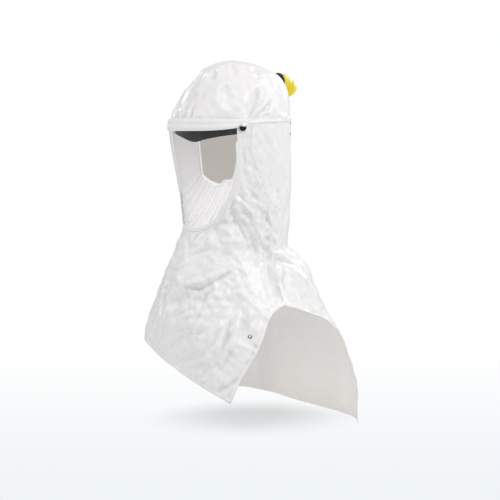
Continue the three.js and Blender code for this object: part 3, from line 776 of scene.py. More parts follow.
def smooth_tape():
    """Plain white coated tape of the brow band and the window's binding."""
    finish = Finish("smooth_tape")
    colour = finish.blend(finish.noise(24, 3), shade(0.875, 0.864, 0.85), shade(0.912, 0.9, 0.888))
    relief = finish.bump(finish.noise(90, 3, 0.6), 0.25, finish.bump(finish.noise(700, 4, 0.7), 0.03))
    return finish.surface(base_color=colour, roughness=0.34 + 0.12 * finish.noise(50, 3), normal=relief)


def seal_cloth():
    """Thin soft cloth of the face seal, with painted shade between its gathers, painted highlights on their
    ridges and a painted glow.
    """
    finish = Finish("seal_cloth")
    tint = finish.blend(finish.noise(30, 3), shade(0.88, 0.87, 0.86), shade(0.92, 0.91, 0.905))
    # Painted shade darkens the colour between the gathers, and a painted highlight lightens their ridges.
    fold = finish.mark("fold")
    tint = finish.blend((fold * -0.35).at_least(0.0), tint, shade(0.62, 0.61, 0.6))
    colour = finish.blend(fold.at_least(0.0) * 1.2, tint, shade(1, 1, 1))
    sharp = finish.crinkle(80, 0.2, finish.wandering(30, 0.01)) * finish.noise(20, 2)
    relief = finish.bump(sharp, 0.3, finish.bump(finish.noise(800, 4, 0.7), 0.04))
    # Painted glow: the cloth gives off a little light of its own.
    return finish.surface(base_color=colour, roughness=0.42 + 0.12 * finish.noise(60, 2), normal=relief,
                          emission_color=shade(1, 0.98, 0.99), emission_strength=0.17)


def roll_tape():
    """Soft white elastic of the roll round the face opening, with a painted glow for light through the cloth.
    """
    finish = Finish("roll_tape")
    colour = finish.blend(finish.noise(60, 3), shade(0.93, 0.92, 0.94), shade(0.96, 0.95, 0.965))
    relief = finish.bump(finish.noise(300, 3, 0.6), 0.2)
    # Painted glow: the tape gives off a little light of its own.
    return finish.surface(base_color=colour, roughness=0.5 + 0.1 * finish.noise(70, 2), normal=relief,
                          emission_color=shade(0.98, 0.96, 1), emission_strength=0.3)


def window_sheet():
    """Clear film: hardly seen face on, greyer where it is seen along its face, with faint smears."""
    finish = Finish("window_sheet")
    facing = finish.node("ShaderNodeLayerWeight", sockets={"Blend": 0.5}, out="Facing")
    smears = finish.noise(9, 4, 0.6)
    colour = finish.blend(facing, shade(0.4, 0.39, 0.41), shade(0.52, 0.505, 0.55))
    alpha = 0.01 + 0.02 * smears + 0.36 * facing**2.6
    return finish.surface(base_color=colour, roughness=0.05 + 0.06 * smears, alpha=alpha.at_most(0.8),
                          IOR=1.38)


def band_foam():
    """Satin black cover of the sweatband, finely grained, with a painted grey reflection on the side towards
    the head.
    """
    finish = Finish("band_foam")
    grain = finish.node("ShaderNodeTexVoronoi", sockets={"Vector": finish.object_place, "Scale": 900})
    colour = finish.blend(finish.noise(40, 3), shade(0.006, 0.0065, 0.007), shade(0.011, 0.0115, 0.0125))
    # Painted reflection: the side towards the head is coloured grey.
    colour = finish.blend(finish.mark("inner"), colour, shade(0.1, 0.098, 0.105))
    relief = finish.bump(grain, 0.08, finish.bump(finish.noise(60, 3), 0.4))
    return finish.surface(base_color=colour, roughness=0.34 + 0.14 * finish.noise(90, 3), normal=relief,
                          sheen_weight=0.5, sheen_roughness=0.25)


def polished_metal(name, low, high, worn, middle, reach):
    """Polished metal with a painted reflection of a dark ground and a light sky: low tones and high ones
    about a height.
    """
    finish = Finish(name)
    # Painted reflection: the colour runs from the low tone below the middle height to the high one above it.
    sky = (finish.up() - (middle - reach / 2) * MM) / (reach * MM) + 0.5 * (finish.noise(300, 3) - 0.5)
    tone = finish.blend(sky.share(), shade(*low), shade(*high))
    relief = finish.bump(finish.noise(900, 2), 0.01)
    return finish.surface(base_color=tone, metallic=1.0, roughness=worn + 0.1 * finish.noise(400, 3),
                          normal=relief)


def moulded(name, colour, rough):
    """Moulded plastic with a fine orange-peel skin and rubbed, paler high spots."""
    finish = Finish(name)
    rubbed = (finish.noise(130, 5, 0.65) - 0.52).at_least(0.0) * 2.2
    tone = finish.blend(rubbed, shade(*colour), shade(*[min(1, c * 1.25 + 0.02) for c in colour]))
    relief = finish.bump(finish.noise(520, 3), 0.06)
    return finish.surface(base_color=tone, roughness=rough + 0.14 * finish.noise(200, 3), normal=relief)


CLOTH_FINISH = coated_cloth()
INSIDE_FINISH = cloth_inside()
TAPE_FINISH = smooth_tape()
SEAL_FINISH = seal_cloth()
ROLL_FINISH = roll_tape()
WINDOW_FINISH = window_sheet()
FOAM_FINISH = band_foam()
# The snap's and eyelet's low and high tones are their painted reflection.
SNAP_FINISH = polished_metal("snap_metal", (0.03, 0.025, 0.024), (0.75, 0.74, 0.74), 0.08, middle=11, reach=4)
EYELET_FINISH = polished_metal("eyelet_metal", (0.12, 0.12, 0.12), (0.4, 0.4, 0.41), 0.16,
                               middle=EYELET_HEIGHT, reach=6)
BLACK_FINISH = moulded("black_moulding", (0.016, 0.016, 0.017), 0.38)
YELLOW_FINISH = moulded("yellow_moulding", (0.77, 0.63, 0.022), 0.3)


# The hood's cloth.
def cloth_panel(name, node, points, mark, **placing):
    """A panel of the hood's cloth, with its thickness and its uncoated back."""
    # The mark carries the painted shade and highlight of the cloth's folds.
    mesh = placed_grid(points, {"fold": mark}, **placing)
    return walled(finish_piece(mesh, name, [CLOTH_FINISH, INSIDE_FINISH], node), CLOTH)


def front_cloth():
    u, v = grid(500, 90)
    share = np.linspace(0, 1, 2001)
    hem_line = body(*read(FRONT_EDGE, share))
    run = run_lengths(hem_line[:, None], 0)[:, 0]
    u = np.interp(u * run[-1], run, share)
    inner_angle, inner_z = window_edge(u)
    outer_angle, outer_z = read(FRONT_EDGE, u)
    k = v**1.05
    side = np.sign(0.5 - u)
    inset = side * np.minimum(1, np.abs(0.5 - u) * 20)
    seam = smooth(0.302, 0.296, u) + smooth(0.698, 0.704, u)
    outer_angle = outer_angle + side * seam * math.degrees(LAP / 105)
    angle = lerp(inner_angle + 0.35 * inset, outer_angle, k)
    z = np.minimum(lerp(inner_z - 0.6, outer_z, k), crown_seam(angle) - 0.8)
    out = body_out(angle, z)
    base = body(angle, z) + out * (smooth(0, 0.2, v) * broad_folds(angle, z))[..., None]
    down = run_lengths(base, 0)
    edge = down[-1:] - down
    along = run_lengths(base, 1)[-1:] + 0 * edge
    free = 1 - seam
    lift = body_relief(angle, z, base) * smooth(2, 14, down) * (1 - seam * smooth(14, 5, edge))
    lift += free * hem_relief(edge, along)
    lift -= seam * (1.3 * smooth(LAP + 1.5, LAP - 0.5, edge) - 0.7 * swell(edge - LAP - 3, 2.4))
    lift += seam * pucker(along, edge - 9, 0.5, 3.4, 19, 6)
    # Mask of the painted fold shade and highlight, weaker along the seams.
    mark = fold_shading_mask(lift) * (1 - 0.75 * seam * smooth(16, 8, edge))
    return cloth_panel("front_cloth", "front_panel", base + out * lift[..., None], mark)


def back_cloth():
    u, v = grid(150, 225)
    arch = 15 / 26           # the share of the rows that lies over the shoulder arches
    z = np.where(v < arch, lerp(CROWN_SEAM, ARCH_TOP, v / arch),
                 lerp(ARCH_TOP, BACK_HEM, (v - arch) / (1 - arch)))
    (edge_angle,) = read(BACK_EDGE, z)
    angle = lerp(edge_angle + 0.1, 360 - edge_angle - 0.1 + FAR_REACH * smooth(-450, BACK_HEM, z), u)
    z = z + (crown_seam(angle) - 0.8 - CROWN_SEAM) * np.maximum(0, 1 - v * 8)
    z = z + FAR_HEM_RISE * smooth(178, 236, angle) * smooth(ARCH_TOP, BACK_HEM, z)
    out = body_out(angle, z)
    base = body(angle, z) + out * broad_folds(angle, z)[..., None]
    over, down = run_lengths(base, 1), run_lengths(base, 0)
    side = np.minimum(over, over[:, -1:] - over)
    seam = 1 - smooth(ARCH_TOP + 6, ARCH_TOP - 6, z)
    lift = body_relief(angle, z, base) * (1 - seam * smooth(14, 4, side)) * smooth(2, 12, down)
    lift += hem_relief(np.minimum(down[-1:] - down, side + 400 * seam), over + down)
    lift += seam * (1.3 * swell(side - 2.5, 2.4) - 0.9 * swell(side - 6, 0.9))
    lift += seam * pucker(down, side - 7, 0.5, 3.4, 23, 6)
    # Mask of the painted fold shade and highlight, weaker along the seams.
    mark = fold_shading_mask(lift) * (1 - 0.75 * seam * smooth(16, 8, side))
    return cloth_panel("back_cloth", "back_panel", base + out * lift[..., None], mark)


# Small chance creases of the crown. Columns as in CRUMPLES; heights and lengths are shares of the way up.
CROWN_CRUMPLES = [
    ((-180, 180), (0.02, 0.3), 90, (0.02, 0.07), (0.2, 0.9), (5, 10), 75, 30),
    ((-60, 130), (0.2, 0.8), 70, (0.03, 0.09), (0.3, 1.0), (5, 12), 60, 50),
    ((130, 300), (0.2, 0.8), 40, (0.03, 0.09), (0.3, 1.0), (6, 12), 60, 50),
]
CROWN_RISE = 205             # the cloth's way from the crown seam to the top


def crown_radius(share):
    return 118 * math.cos(math.radians(80 * max(0.0, min(1.0, share))))


def crown_crumple_rows():
    draw = np.random.default_rng(5)
    rows = []
    for angles, shares, count, lengths, depths, reaches, slope, spread in CROWN_CRUMPLES:
        for _ in range(count):
            angle, share, half = draw.uniform(*angles), draw.uniform(*shares), draw.uniform(*lengths) * 2
            turn = math.radians(draw.normal(slope, spread) * draw.choice([-1, 1]))
            over = half * CROWN_RISE * math.cos(turn) / crown_radius(share)
            step = (math.degrees(over), half * math.sin(turn))
            depth = draw.uniform(*depths) * draw.choice([-1, 1])
            rows.append((depth, draw.uniform(*reaches), draw.uniform(*reaches),
                         [(angle - step[0], share - step[1]), (angle + step[0], share + step[1])]))
    return rows


def crown_cloth():
    u, v = grid(260, 84)
    angle = 360 * u
    skirt = 0.03             # the share of the rows that laps over the body cloth
    share = np.clip((v - skirt) / (1 - skirt), 0, 1)
    out = outward(crown_body, angle, np.clip(share, 0.012, 0.96), 0.5, 0.01)
    base = crown_body(angle, share)
    base[..., 2] -= LAP * np.clip(1 - v / skirt, 0, 1)
    pleat = GATHER_DEPTH * (np.cos(np.radians(angle * GATHERS)) - 1)
    pleat = pleat * np.sin(math.pi * np.clip(share * 2.2, 0, 1))
    lift = pleat + CROWN_CREASE_SHARE * creased(angle, share, CROWN_CREASES, crown_radius, CROWN_RISE)
    lift += CROWN_CRUMPLE_SHARE * creased(angle, share, crown_crumple_rows(), crown_radius, CROWN_RISE)
    lift += CROWN_PRESSED_SHARE * pressed_folds(base, 8)
    lift = lift * smooth(0, 0.03, share) * smooth(1, 0.93, share)
    down = share * CROWN_RISE
    lift += 1.5 * smooth(8, 2, down) - 0.8 * swell(down - 5, 0.9)
    lift += pucker(np.radians(angle) * 120, down - 6, 0.5, 3.3, 27, 6)
    placed = base + out * lift[..., None]
    placed[-1] = placed[-1].mean(axis=0)
    placed[:, -1] = placed[:, 0]
    # Mask of the painted fold shade and highlight, at half strength.
    mark = 0.5 * fold_shading_mask(lift)
    return cloth_panel("crown_cloth", "crown", placed, mark, joined=True, inside=(0, 0, 0.02))


# The face seal behind the window.
# The face opening's edge, from its right top corner round the chin to its left top corner.
# Columns: share of the way, across, height.
RIM = [
    (0, 63, -10),
    (0.08, 63, -38),
    (0.16, 61, -60),
    (0.24, 56, -80),
    (0.3, 49, -96),
    (0.36, 38, -103),
    (0.42, 26, -104),
    (0.46, 16, -105.5),
    (0.49, 8, -111),
    (0.52, -2, -114.5),
    (0.57, -18, -112),
    (0.64, -38, -106),
    (0.71, -53, -98),
    (0.77, -59, -86),
    (0.84, -62, -64),
    (0.92, -66, -38),
    (1, -69, -10),
]
RIM_DEPTH = -44
SEAL_GAP = 1.7               # from the window's face in to the seal's outer edge
SEAL_TUCK = 3.6              # from the window's face in to the far side's corner
SEAL_CORNER = 0.34           # the share of the way in that the far side lies along the window

# Gathers of the seal. Columns: share of the way round, half width as a share, height of the ridge.
SEAL_GATHERS = [
    (0.07, 0.02, 2.0), (0.13, 0.02, 2.4), (0.2, 0.024, 2.6), (0.262, 0.02, 3.0), (0.31, 0.016, 2.4),
    (0.352, 0.014, 3.4), (0.39, 0.014, 3.0), (0.428, 0.013, 3.6), (0.462, 0.013, 3.0), (0.5, 0.015, 3.6),
    (0.54, 0.013, 2.8), (0.577, 0.014, 3.4), (0.62, 0.016, 3.0), (0.668, 0.016, 3.2), (0.72, 0.018, 2.6),
    (0.78, 0.022, 2.8), (0.84, 0.022, 2.2), (0.91, 0.024, 2.2),
]


def rim(share):
    across, z = read(RIM, share)
    return np.stack([across, RIM_DEPTH - 2 * np.abs(across) / 64, z], axis=-1)


def face_seal():
    u, v = grid(330, 44)
    share = lerp(0.035, 0.985, u)
    angle, z = window_edge(share)
    outer = body(angle * 1.02, z * np.where(z < 0, 1.01, 1)) - SEAL_GAP * body_out(angle, z)
    inner, far_out = rim(share), body_out(angle * 0.8, z)
    turning = v / SEAL_CORNER
    along_window = body(lerp(angle * 1.02, angle * 0.7, turning), z)
    along_window = along_window - lerp(SEAL_GAP, SEAL_TUCK, turning)[..., None] * far_out
    corner = body(angle * 0.7, z) - SEAL_TUCK * far_out
    past_corner = lerp(corner, inner, ((v - SEAL_CORNER) / (1 - SEAL_CORNER))[..., None])
    far_side = np.where(turning[..., None] < 1, along_window, past_corner)
    middle = lerp(lerp(outer, inner, v[..., None]), far_side, smooth(0.52, 0.64, share)[..., None])
    gather = sum(rise * np.maximum(0, 1 - np.abs(share + 0.006 * np.sin(3 * v + 40 * place) - place) / half)
                 for place, half, rise in SEAL_GATHERS)
    fine = 0.12 * np.sin(share * 420 + 3 * np.sin(5 * v)) * np.sin(math.pi * v)
    lower = smooth(0.2, 0.36, share) * smooth(0.92, 0.7, share)
    lift = 2.8 * gather * lower * np.sin(math.pi * np.clip(0.06 + v * 0.92, 0, 1)) ** 0.6 + fine * lower
    lift += (5 * np.sin(math.pi * v) - 1.6) * lower
    lift = lift * smooth(0, 0.06, v)
    placed = middle + lift[..., None] * np.array([0, 0.45, -0.9])
    # Mask of the seal's painted highlight on the gathers' ridges and painted shade between them.
    mark = (np.clip(gather / 1.2 - 1.4, 0, 1) - 0.5 * smooth(0.5, 0, gather)) * lower * smooth(1, 0.9, v)
    mesh = placed_grid(placed, {"fold": mark}, inside=(0, 0.05, -0.06))
    piece = finish_piece(mesh, "face_seal_cloth", [SEAL_FINISH, INSIDE_FINISH], "face_seal")
    return walled(piece, SEAL_CLOTH)


def tube(centre, radius, samples, sides):
    """A closed tube round a line of points, its ends drawn in to a point."""
    turn, k = np.meshgrid(np.linspace(0, 2 * math.pi, sides + 1), np.linspace(0, 1, samples + 1))
    line = centre(k[:, 0])
    ahead = unit(centre(k[:, 0] + 0.004) - centre(k[:, 0] - 0.004))
    over = unit(np.cross(ahead, [0, 1, 0]))
    up = np.cross(over, ahead)
    thick = radius(k, turn) * end_taper(samples + 1, 3)
    points = line[:, None] + over[:, None] * (thick * np.cos(turn))[..., None]
    points += up[:, None] * (thick * np.sin(turn))[..., None]
    points[:, -1] = points[:, 0]
    return points


def closed_piece(points, name, finish, node, marks=None):
    mesh = placed_grid(points, marks, joined=True)
    bmesh.ops.recalc_face_normals(mesh, faces=mesh.faces)
    return finish_piece(mesh, name, [finish], node)


def seal_roll():
    def centre(k):
        return rim(lerp(0.03, 0.97, k)) + np.array([0, 3.0, 0.8])

    def radius(k, turn):
        full = 1.7 + 2.1 * zone(k, 0.5, 0.74, 0.05) + 0.5 * zone(k, 0.3, 0.5, 0.04)
        return full * (1 + 0.07 * np.sin(k * 260 + 1.5 * np.sin(turn)) + 0.05 * np.sin(k * 47))

    return closed_piece(tube(centre, radius, 260, 14), "seal_roll_tape", ROLL_FINISH, "seal_roll")


BINDING_HALF = 3.6           # half of the tape's width


def binding():
    """The tape round the window's edge, with a sewn ridge along each side."""
    count = 341
    share = np.linspace(0.04, 0.96, count)
    across = np.linspace(0, 1, 19)
    angle, z = window_edge(share)
    ahead = unit(body(*window_edge(share + 0.004)) - body(*window_edge(share - 0.004)))
    side = unit(np.cross(ahead, body_out(angle, z)))
    turning = body(angle + 0.5, z) - body(angle - 0.5, z)
    turn_rate = (side * turning).sum(-1) / (turning**2).sum(-1)
    face = TAPE_BACK + 0.55 * (1 - np.abs(2 * across - 1) ** 6) ** 0.5
    face += 0.55 * swell(across - 0.14, 0.08) + 0.5 * swell(across - 0.86, 0.08)
    top = np.stack([lerp(-BINDING_HALF, BINDING_HALF, across), face], axis=1)
    left, right = [-BINDING_HALF, TAPE_BACK], [BINDING_HALF, TAPE_BACK]
    ring = np.concatenate([[left], top, [right], [[0, TAPE_BACK - 0.05]], [left]])
    taper = end_taper(count, 3)
    offset = ring[None, :, 0] * taper
    at_angle, at_z = angle[:, None] + offset * turn_rate[:, None], z[:, None] + offset * side[:, None, 2]
    wave = 0.15 * np.sin(share * 620)[:, None]
    lift = TAPE_BACK + (ring[None, :, 1] - TAPE_BACK + wave * (ring[None, :, 1] > 0.9)) * taper
    points = body(at_angle, at_z) + body_out(at_angle, at_z) * lift[..., None]
    return closed_piece(points, "window_binding_tape", TAPE_FINISH, "visor_binding")


# The brow band's outline across. Columns: share of the band's height, thickness over the window.
BAND_PROFILE = [
    (0, 1.8),
    (0.14, 3.4),
    (0.36, 3.6),
    (0.5, 2.6),
    (0.64, 3.1),
    (0.88, 2.7),
    (1, 1.6),
]
BAND_HALF = 71


def brow_band():
    count, back = 301, 0.8
    angle = np.linspace(BAND_HALF, -BAND_HALF, count)
    share = np.linspace(0, 1, 27)
    ends = (angle / BAND_HALF) ** 2
    low, high = 1 + 11 * ends**2, 27 - 3 * ends
    (thickness,) = read(BAND_PROFILE, share)
    ring_share = np.concatenate([[0], share, [1], [0.5], [0]])[None]
    ring_out = np.concatenate([[back], thickness, [back] * 3])[None]
    z = lerp(low[:, None], high[:, None], ring_share)
    turn = angle[:, None] + 0 * z
    around = np.radians(turn) * 135
    gathered = smooth(0.35, 0.9, ring_share) * (swell(turn - 6, 16) + 0.25)
    crimp = 0.42 * np.sin(around / 2.9 + 2.2 * np.sin(around / 13)) * gathered
    sewn = -0.45 * swell(ring_share - 0.12, 0.03) - 0.4 * swell(ring_share - 0.9, 0.03)
    lift = back + (ring_out - back + (crimp + sewn) * (ring_out > 1)) * end_taper(count, 4)
    points = body(turn, z) + body_out(turn, z) * lift[..., None]
    return closed_piece(points, "brow_band_tape", TAPE_FINISH, "brow_band")


def window():
    u, v = grid(110, 80)
    share = 0.5 * v
    edge, z = window_edge(share)
    side = np.maximum(edge - 0.35, 0.2)
    angle = lerp(side, -side, u)
    top = crown_seam(angle) - 0.8
    height = np.where(v == 0, top, np.minimum(z + 0.4, top))
    points = body(angle, height) - 0.2 * body_out(angle, height)
    mesh = placed_grid(points, inside=(0, 0, -0.1))
    return walled(finish_piece(mesh, "window_film", [WINDOW_FINISH], "visor"), FILM, both=False)


# The sweatband seen from above.
# Columns: share of the way from end to end, across, forward, height of the lower edge.
SWEATBAND = [
    (0, 100, -50, -4),
    (0.06, 97, -63, -5),
    (0.14, 90, -81, -7),
    (0.22, 76, -96, -10),
    (0.36, 40, -107, -16),
    (0.5, 0, -108, -22),
    (0.64, -40, -107, -13),
    (0.78, -76, -98, -5),
    (0.86, -90, -82, -3),
    (0.94, -97, -63, -3),
    (1, -100, -50, -3),
]


BAND_TALL = 12.5             # half of the sweatband's height
BAND_THICK = 1.6             # half of its thickness


def sweatband():
    count = 241
    u = np.linspace(0, 1, count)
    x, y, low = read(SWEATBAND, u)
    x2, y2, _ = read(SWEATBAND, np.minimum(u + 0.01, 1))
    x1, y1, _ = read(SWEATBAND, np.maximum(u - 0.01, 0))
    out = unit(np.stack([y2 - y1, x1 - x2, 0 * x], axis=-1))
    turn = np.linspace(0, 2 * math.pi, 45)
    c, s = np.cos(turn), np.sin(turn)
    tall = BAND_TALL * np.sign(s) * np.abs(s) ** 0.32
    thick = BAND_THICK * np.sign(c) * np.abs(c) ** 0.55 * (1 + 0.18 * np.cos(tall / BAND_TALL * math.pi))
    ends = end_taper(count, 4)[..., None]
    middle = np.stack([x, y, low + BAND_TALL], axis=-1) - out * 1.5
    points = middle[:, None] + out[:, None] * thick[None, :, None] * ends
    points = points + np.array([0, 0, 1]) * tall[None, :, None] * (0.9 + 0.1 * ends) * ends
    points[:, -1] = points[:, 0]
    # Mask of the painted grey reflection on the band's side towards the head.
    inner = smooth(-0.3, 0.3, c)[None] + 0 * points[..., 0]
    piece = closed_piece(points, "sweatband_pad", FOAM_FINISH, "sweatband", {"inner": inner})
    return piece


# Fittings.
def turned(profile, steps):
    """A solid turned about +Z from an outline of (radius, height) places."""
    mesh = bmesh.new()
    verts = [mesh.verts.new((radius * MM, 0, height * MM)) for radius, height in profile]
    edges = [mesh.edges.new(pair) for pair in zip(verts, verts[1:])]
    bmesh.ops.spin(mesh, geom=verts + edges, cent=(0, 0, 0), axis=(0, 0, 1), angle=2 * math.pi, steps=steps,
                   use_merge=True)
    bmesh.ops.remove_doubles(mesh, verts=mesh.verts, dist=1e-6)
    bmesh.ops.recalc_face_normals(mesh, faces=mesh.faces)
    return mesh


def stood(mesh, place, direction):
    """Stands a mesh made about +Z on a place, with its +Z along a direction."""
    turn = Vector((0, 0, 1)).rotation_difference(Vector(direction)).to_matrix().to_4x4()
    bmesh.ops.transform(mesh, matrix=Matrix.Translation(Vector(place) * MM) @ turn, verts=mesh.verts)
    return mesh


def eased(piece, width, segments):
    """Rounds a fitting's hard edges."""
    bevel = piece.modifiers.new("eased_edges", "BEVEL")
    bevel.width, bevel.segments = width * MM, segments
    bevel.limit_method, bevel.angle_limit = "ANGLE", math.radians(35)
    return piece


SNAP_ANGLE = 65.8
SNAP_HEIGHT = 8
SNAP_SEAT = 4.2
SNAP_POST = [(0, -10.5), (2, -10.5), (2, SNAP_SEAT - 0.2)]
# Columns: radius, height over the snap's seat.
SNAP_DOME = [
    (7.0, -0.2), (7.5, 0.2), (7.5, 0.9), (7.1, 1.4), (6.6, 1.35), (6.2, 1.6), (5.4, 2.5), (4.3, 3.3),
    (2.9, 3.85), (1.4, 4.12), (0, 4.2),
]
STUD_ANGLE = 131
STUD_OUTLINE = [
    (0, -1.4), (1, -1.4), (1, 0.3), (2.2, 0.3), (2.35, 0.6), (2.2, 1.0), (1.7, 1.5), (0.9, 1.75), (0, 1.8),
]
EYELET_OUTLINE = [
    (2.6, -1.6), (2.5, -0.4), (2.6, 0.6), (2.9, 0.95), (3.5, 1.0), (4.1, 0.75), (4.4, 0.3), (4.3, 0.1),
    (3.3, 0.1), (3.1, -1.2), (4.3, -1.3), (4.3, -1.9), (2.8, -1.9), (2.6, -1.6),
]


def temple_snap(name, side):
    angle = side * SNAP_ANGLE
    outline = SNAP_POST + [(radius, SNAP_SEAT + height) for radius, height in SNAP_DOME]
    mesh = stood(turned(outline, 48), body(angle, SNAP_HEIGHT), body_out(angle, SNAP_HEIGHT))
    return finish_piece(mesh, f"{name}_dome", [SNAP_FINISH], name)


def node_middle(name):
    """The middle of a CAD node's box, in millimetres."""
    low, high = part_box(name)
    return np.array((low + high) / 2 / MM)


def back_stud(name, height):
    out = body_out(STUD_ANGLE, height)
    mesh = stood(turned(STUD_OUTLINE, 24), node_middle(name) - out * 0.15, out)
    return finish_piece(mesh, f"{name}_cap", [BLACK_FINISH], name)


def eyelet():
    out = body_out(EYELET_ANGLE, EYELET_HEIGHT)
    mesh = stood(turned(EYELET_OUTLINE, 40), node_middle("eyelet") + out * 0.6, out)
    return finish_piece(mesh, "eyelet_ring", [EYELET_FINISH], "eyelet")


INLET_HEIGHT = 106
BOSS_FROM = 88
BOSS_TO = 125
BOSS_OUTLINE = [
    (15, 0), (17.5, 0), (17.5, 30.5), (19.5, 33.2), (21.5, 33.5), (21.5, 34.6), (20.9, 34.9), (20.9, 35.4),
    (21.5, 35.7), (21.5, 37), (15, 37), (15, 0),
]
ELBOW_RADIUS = 21
ELBOW_BORE = 15
ELBOW_TURN = 50
ELBOW_BEND = 22
ELBOW_REACH = 17
COLLAR = 2
GROOVE = 0.975               # the groove round the collar, as a share of its radius
# The elbow's mouth, ring by ring from the end of the bend, outside and inside. Columns: way ahead, growth.
ELBOW_RINGS = {
    ELBOW_RADIUS: [
        (0.6, 1), (0, (ELBOW_RADIUS + COLLAR) / ELBOW_RADIUS), (4.2, 1), (0.3, GROOVE), (1.0, 1),
        (0.3, 1 / GROOVE), (ELBOW_REACH - 7.2, 1), (0.8, 0.965),
    ],
    ELBOW_BORE: [(ELBOW_REACH - 1, 1), (1, 1.06)],
}


def inlet_boss():
    mesh = stood(turned(BOSS_OUTLINE, 72), (0, BOSS_FROM, INLET_HEIGHT), (0, 1, 0))
    piece = finish_piece(mesh, "inlet_boss_ring", [BLACK_FINISH], "inlet_boss")
    return eased(piece, 0.35, 2)


def next_ring(mesh, edges, shift, growth):
    """Extrudes a ring of edges, then moves the new ring and scales it about its middle."""
    made = bmesh.ops.extrude_edge_only(mesh, edges=edges)["geom"]
    verts = [item for item in made if isinstance(item, bmesh.types.BMVert)]
    bmesh.ops.translate(mesh, verts=verts, vec=shift)
    middle = sum((v.co for v in verts), Vector()) / len(verts)
    for vert in verts:
        vert.co = middle + (vert.co - middle) * growth
    return [item for item in made if isinstance(item, bmesh.types.BMEdge)]


def inlet_elbow():
    """The elbow: its bend spun outside and inside, and a stepped collar at the mouth."""
    mesh = bmesh.new()
    start = Vector((0, BOSS_TO + 0.4, INLET_HEIGHT)) * MM
    pivot = start - Vector((0, 0, ELBOW_BEND * MM))
    ahead = Vector((0, math.cos(math.radians(ELBOW_TURN)), -math.sin(math.radians(ELBOW_TURN))))
    ends = []
    for radius, rings in ELBOW_RINGS.items():
        stand = Matrix.Translation(start) @ Matrix.Rotation(math.radians(90), 4, "X")
        circle = bmesh.ops.create_circle(mesh, segments=72, radius=radius * MM, matrix=stand)["verts"]
        first = list({edge for vert in circle for edge in vert.link_edges})
        bent = bmesh.ops.spin(mesh, geom=circle + first, cent=pivot, axis=(1, 0, 0), steps=14,
                              angle=-math.radians(ELBOW_TURN))["geom_last"]
        last = [item for item in bent if isinstance(item, bmesh.types.BMEdge)]
        for way, growth in rings:
            last = next_ring(mesh, last, ahead * way * MM, growth)
        ends.append((first, last))
    for outer, inner in zip(*ends):
        bmesh.ops.bridge_loops(mesh, edges=outer + inner)
    bmesh.ops.recalc_face_normals(mesh, faces=mesh.faces)
    piece = finish_piece(mesh, "inlet_elbow_moulding", [YELLOW_FINISH], "inlet_elbow")
    return eased(piece, 0.5, 3)


front = front_cloth()
back = back_cloth()
crown = crown_cloth()
seal = face_seal()
seal_roll()
binding()
brow_band()
window()
sweatband()
temple_snap("temple_snap_left", 1)
temple_snap("temple_snap_right", -1)
back_stud("back_stud_upper", 18)
back_stud("back_stud_lower", -5)
eyelet()
inlet_boss()
inlet_elbow()


# The studio.
TENT_LIGHT = (0.42, 0.83)    # light from the dim side and the bright side; the camera sees plain white
BRIGHT_SIDE = (0.56, 0.5, 0.52)
FLOOR = -0.6305
SHADOW_MIDDLE = (0.034, 0.03)        # across the view and away from it, in metres
SHADOW_HALF = (0.25, 0.18)
# Columns: name, azimuth round from the front, elevation, distance, size, power.
SOFTBOXES = [
    ("key_right", 112, 36, 2.2, 0.9, 9),
    ("rim_back", 188, 30, 2.4, 0.8, 9),
    ("fill_left", -22, 32, 2.4, 1.3, 9),
    ("rim_left", -104, 24, 2.3, 0.7, 5),
    ("top_front", 55, 52, 2.2, 0.5, 3.5),
]
HOOD_MIDDLE = (0, 0, -0.22)          # where the softboxes look


def floor():
    """A pale floor that turns into the tent's plain white away from the hood, with a soft shadow on it."""
    finish = Finish("pale_floor")
    away, across = finish.along(ALONG_VIEW), finish.along(ACROSS_VIEW)
    pale = finish.blend(((away + 0.5) / 1.2).share(), shade(0.871, 0.905, 0.93), shade(1, 1, 1))
    tone = finish.blend(finish.noise(1.2, 2), shade(0.80, 0.82, 0.845), shade(0.82, 0.84, 0.86))
    face = finish.node("ShaderNodeBsdfPrincipled", sockets={"Base Color": tone, "Roughness": 0.6})
    glow = finish.node("ShaderNodeEmission", sockets={"Color": pale, "Strength": 1.0})
    off_middle = [((way - middle) / half) ** 2.0
                  for way, middle, half in zip((across, away), SHADOW_MIDDLE, SHADOW_HALF)]
    clear = (((off_middle[0] + off_middle[1]) ** 0.5 - 0.15) / 0.9).share()
    seen = finish.node("ShaderNodeLightPath", out="Is Camera Ray")
    both = finish.node("ShaderNodeMixShader", sockets={
        0: (0.2 + 0.8 * clear * clear * (3 - 2 * clear)) * seen, 1: face, 2: glow})
    finish.node("ShaderNodeOutputMaterial", sockets={"Surface": both})
    mesh = bmesh.new()
    bmesh.ops.create_circle(mesh, cap_ends=True, segments=96, radius=8)
    bmesh.ops.translate(mesh, verts=mesh.verts, vec=(0, 0, FLOOR))
    made = bpy.data.meshes.new("floor")
    mesh.to_mesh(made)
    mesh.free()
    made.materials.append(finish.material)
    piece = bpy.data.objects.new("floor", made)
    bpy.context.scene.collection.objects.link(piece)


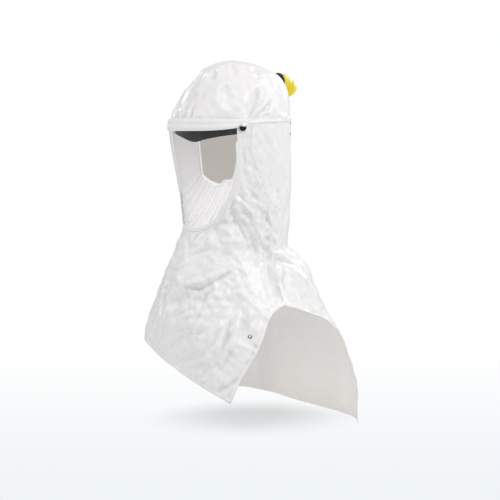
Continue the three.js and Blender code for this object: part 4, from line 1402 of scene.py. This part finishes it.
def softbox(name, azimuth, elevation, distance, size, power):
    """A square light that looks at the hood's middle."""
    light = bpy.data.lights.new(name, "AREA")
    light.shape, light.size, light.energy = "SQUARE", size, power
    lamp = bpy.data.objects.new(name, light)
    a, e = math.radians(azimuth), math.radians(elevation)
    way = Vector((math.sin(a) * math.cos(e), -math.cos(a) * math.cos(e), math.sin(e)))
    lamp.location = Vector(HOOD_MIDDLE) + way * distance
    lamp.rotation_euler = (-way).to_track_quat("-Z", "Y").to_euler()
    bpy.context.scene.collection.objects.link(lamp)


def studio():
    """A white tent, brighter on one side, that the camera sees as plain white."""
    world = bpy.data.worlds.new("white_tent")
    world.use_nodes = True
    nodes, links = world.node_tree.nodes, world.node_tree.links
    seen, level = nodes.new("ShaderNodeLightPath"), nodes.new("ShaderNodeMix")
    place, toward, share = (nodes.new(kind) for kind in (
        "ShaderNodeTexCoord", "ShaderNodeVectorMath", "ShaderNodeMapRange"))
    toward.operation = "DOT_PRODUCT"
    toward.inputs[1].default_value = Vector(BRIGHT_SIDE).normalized()
    share.inputs["From Min"].default_value = -1
    share.inputs["To Min"].default_value, share.inputs["To Max"].default_value = TENT_LIGHT
    level.inputs["B"].default_value = 1.0
    links.new(place.outputs["Generated"], toward.inputs[0])
    links.new(toward.outputs["Value"], share.inputs["Value"])
    links.new(share.outputs["Result"], level.inputs["A"])
    links.new(seen.outputs["Is Camera Ray"], level.inputs["Factor"])
    links.new(level.outputs["Result"], nodes["Background"].inputs["Strength"])
    nodes["Background"].inputs["Color"].default_value = (1, 1, 1, 1)
    bpy.context.scene.world = world
    bpy.context.scene.view_settings.view_transform = "Standard"
    for box in SOFTBOXES:
        softbox(*box)


def camera():
    lens = bpy.data.cameras.new("photo_view")
    lens.lens, lens.sensor_width = 83.78, 36
    view = bpy.data.objects.new("photo_view", lens)
    view.location = (1.9363, -1.5817, 0.005)
    toward = Vector((0.0212, 0.0253, -0.255)) - view.location
    view.rotation_euler = toward.to_track_quat("-Z", "Y").to_euler()
    bpy.context.scene.collection.objects.link(view)
    bpy.context.scene.camera = view


floor()
studio()
camera()
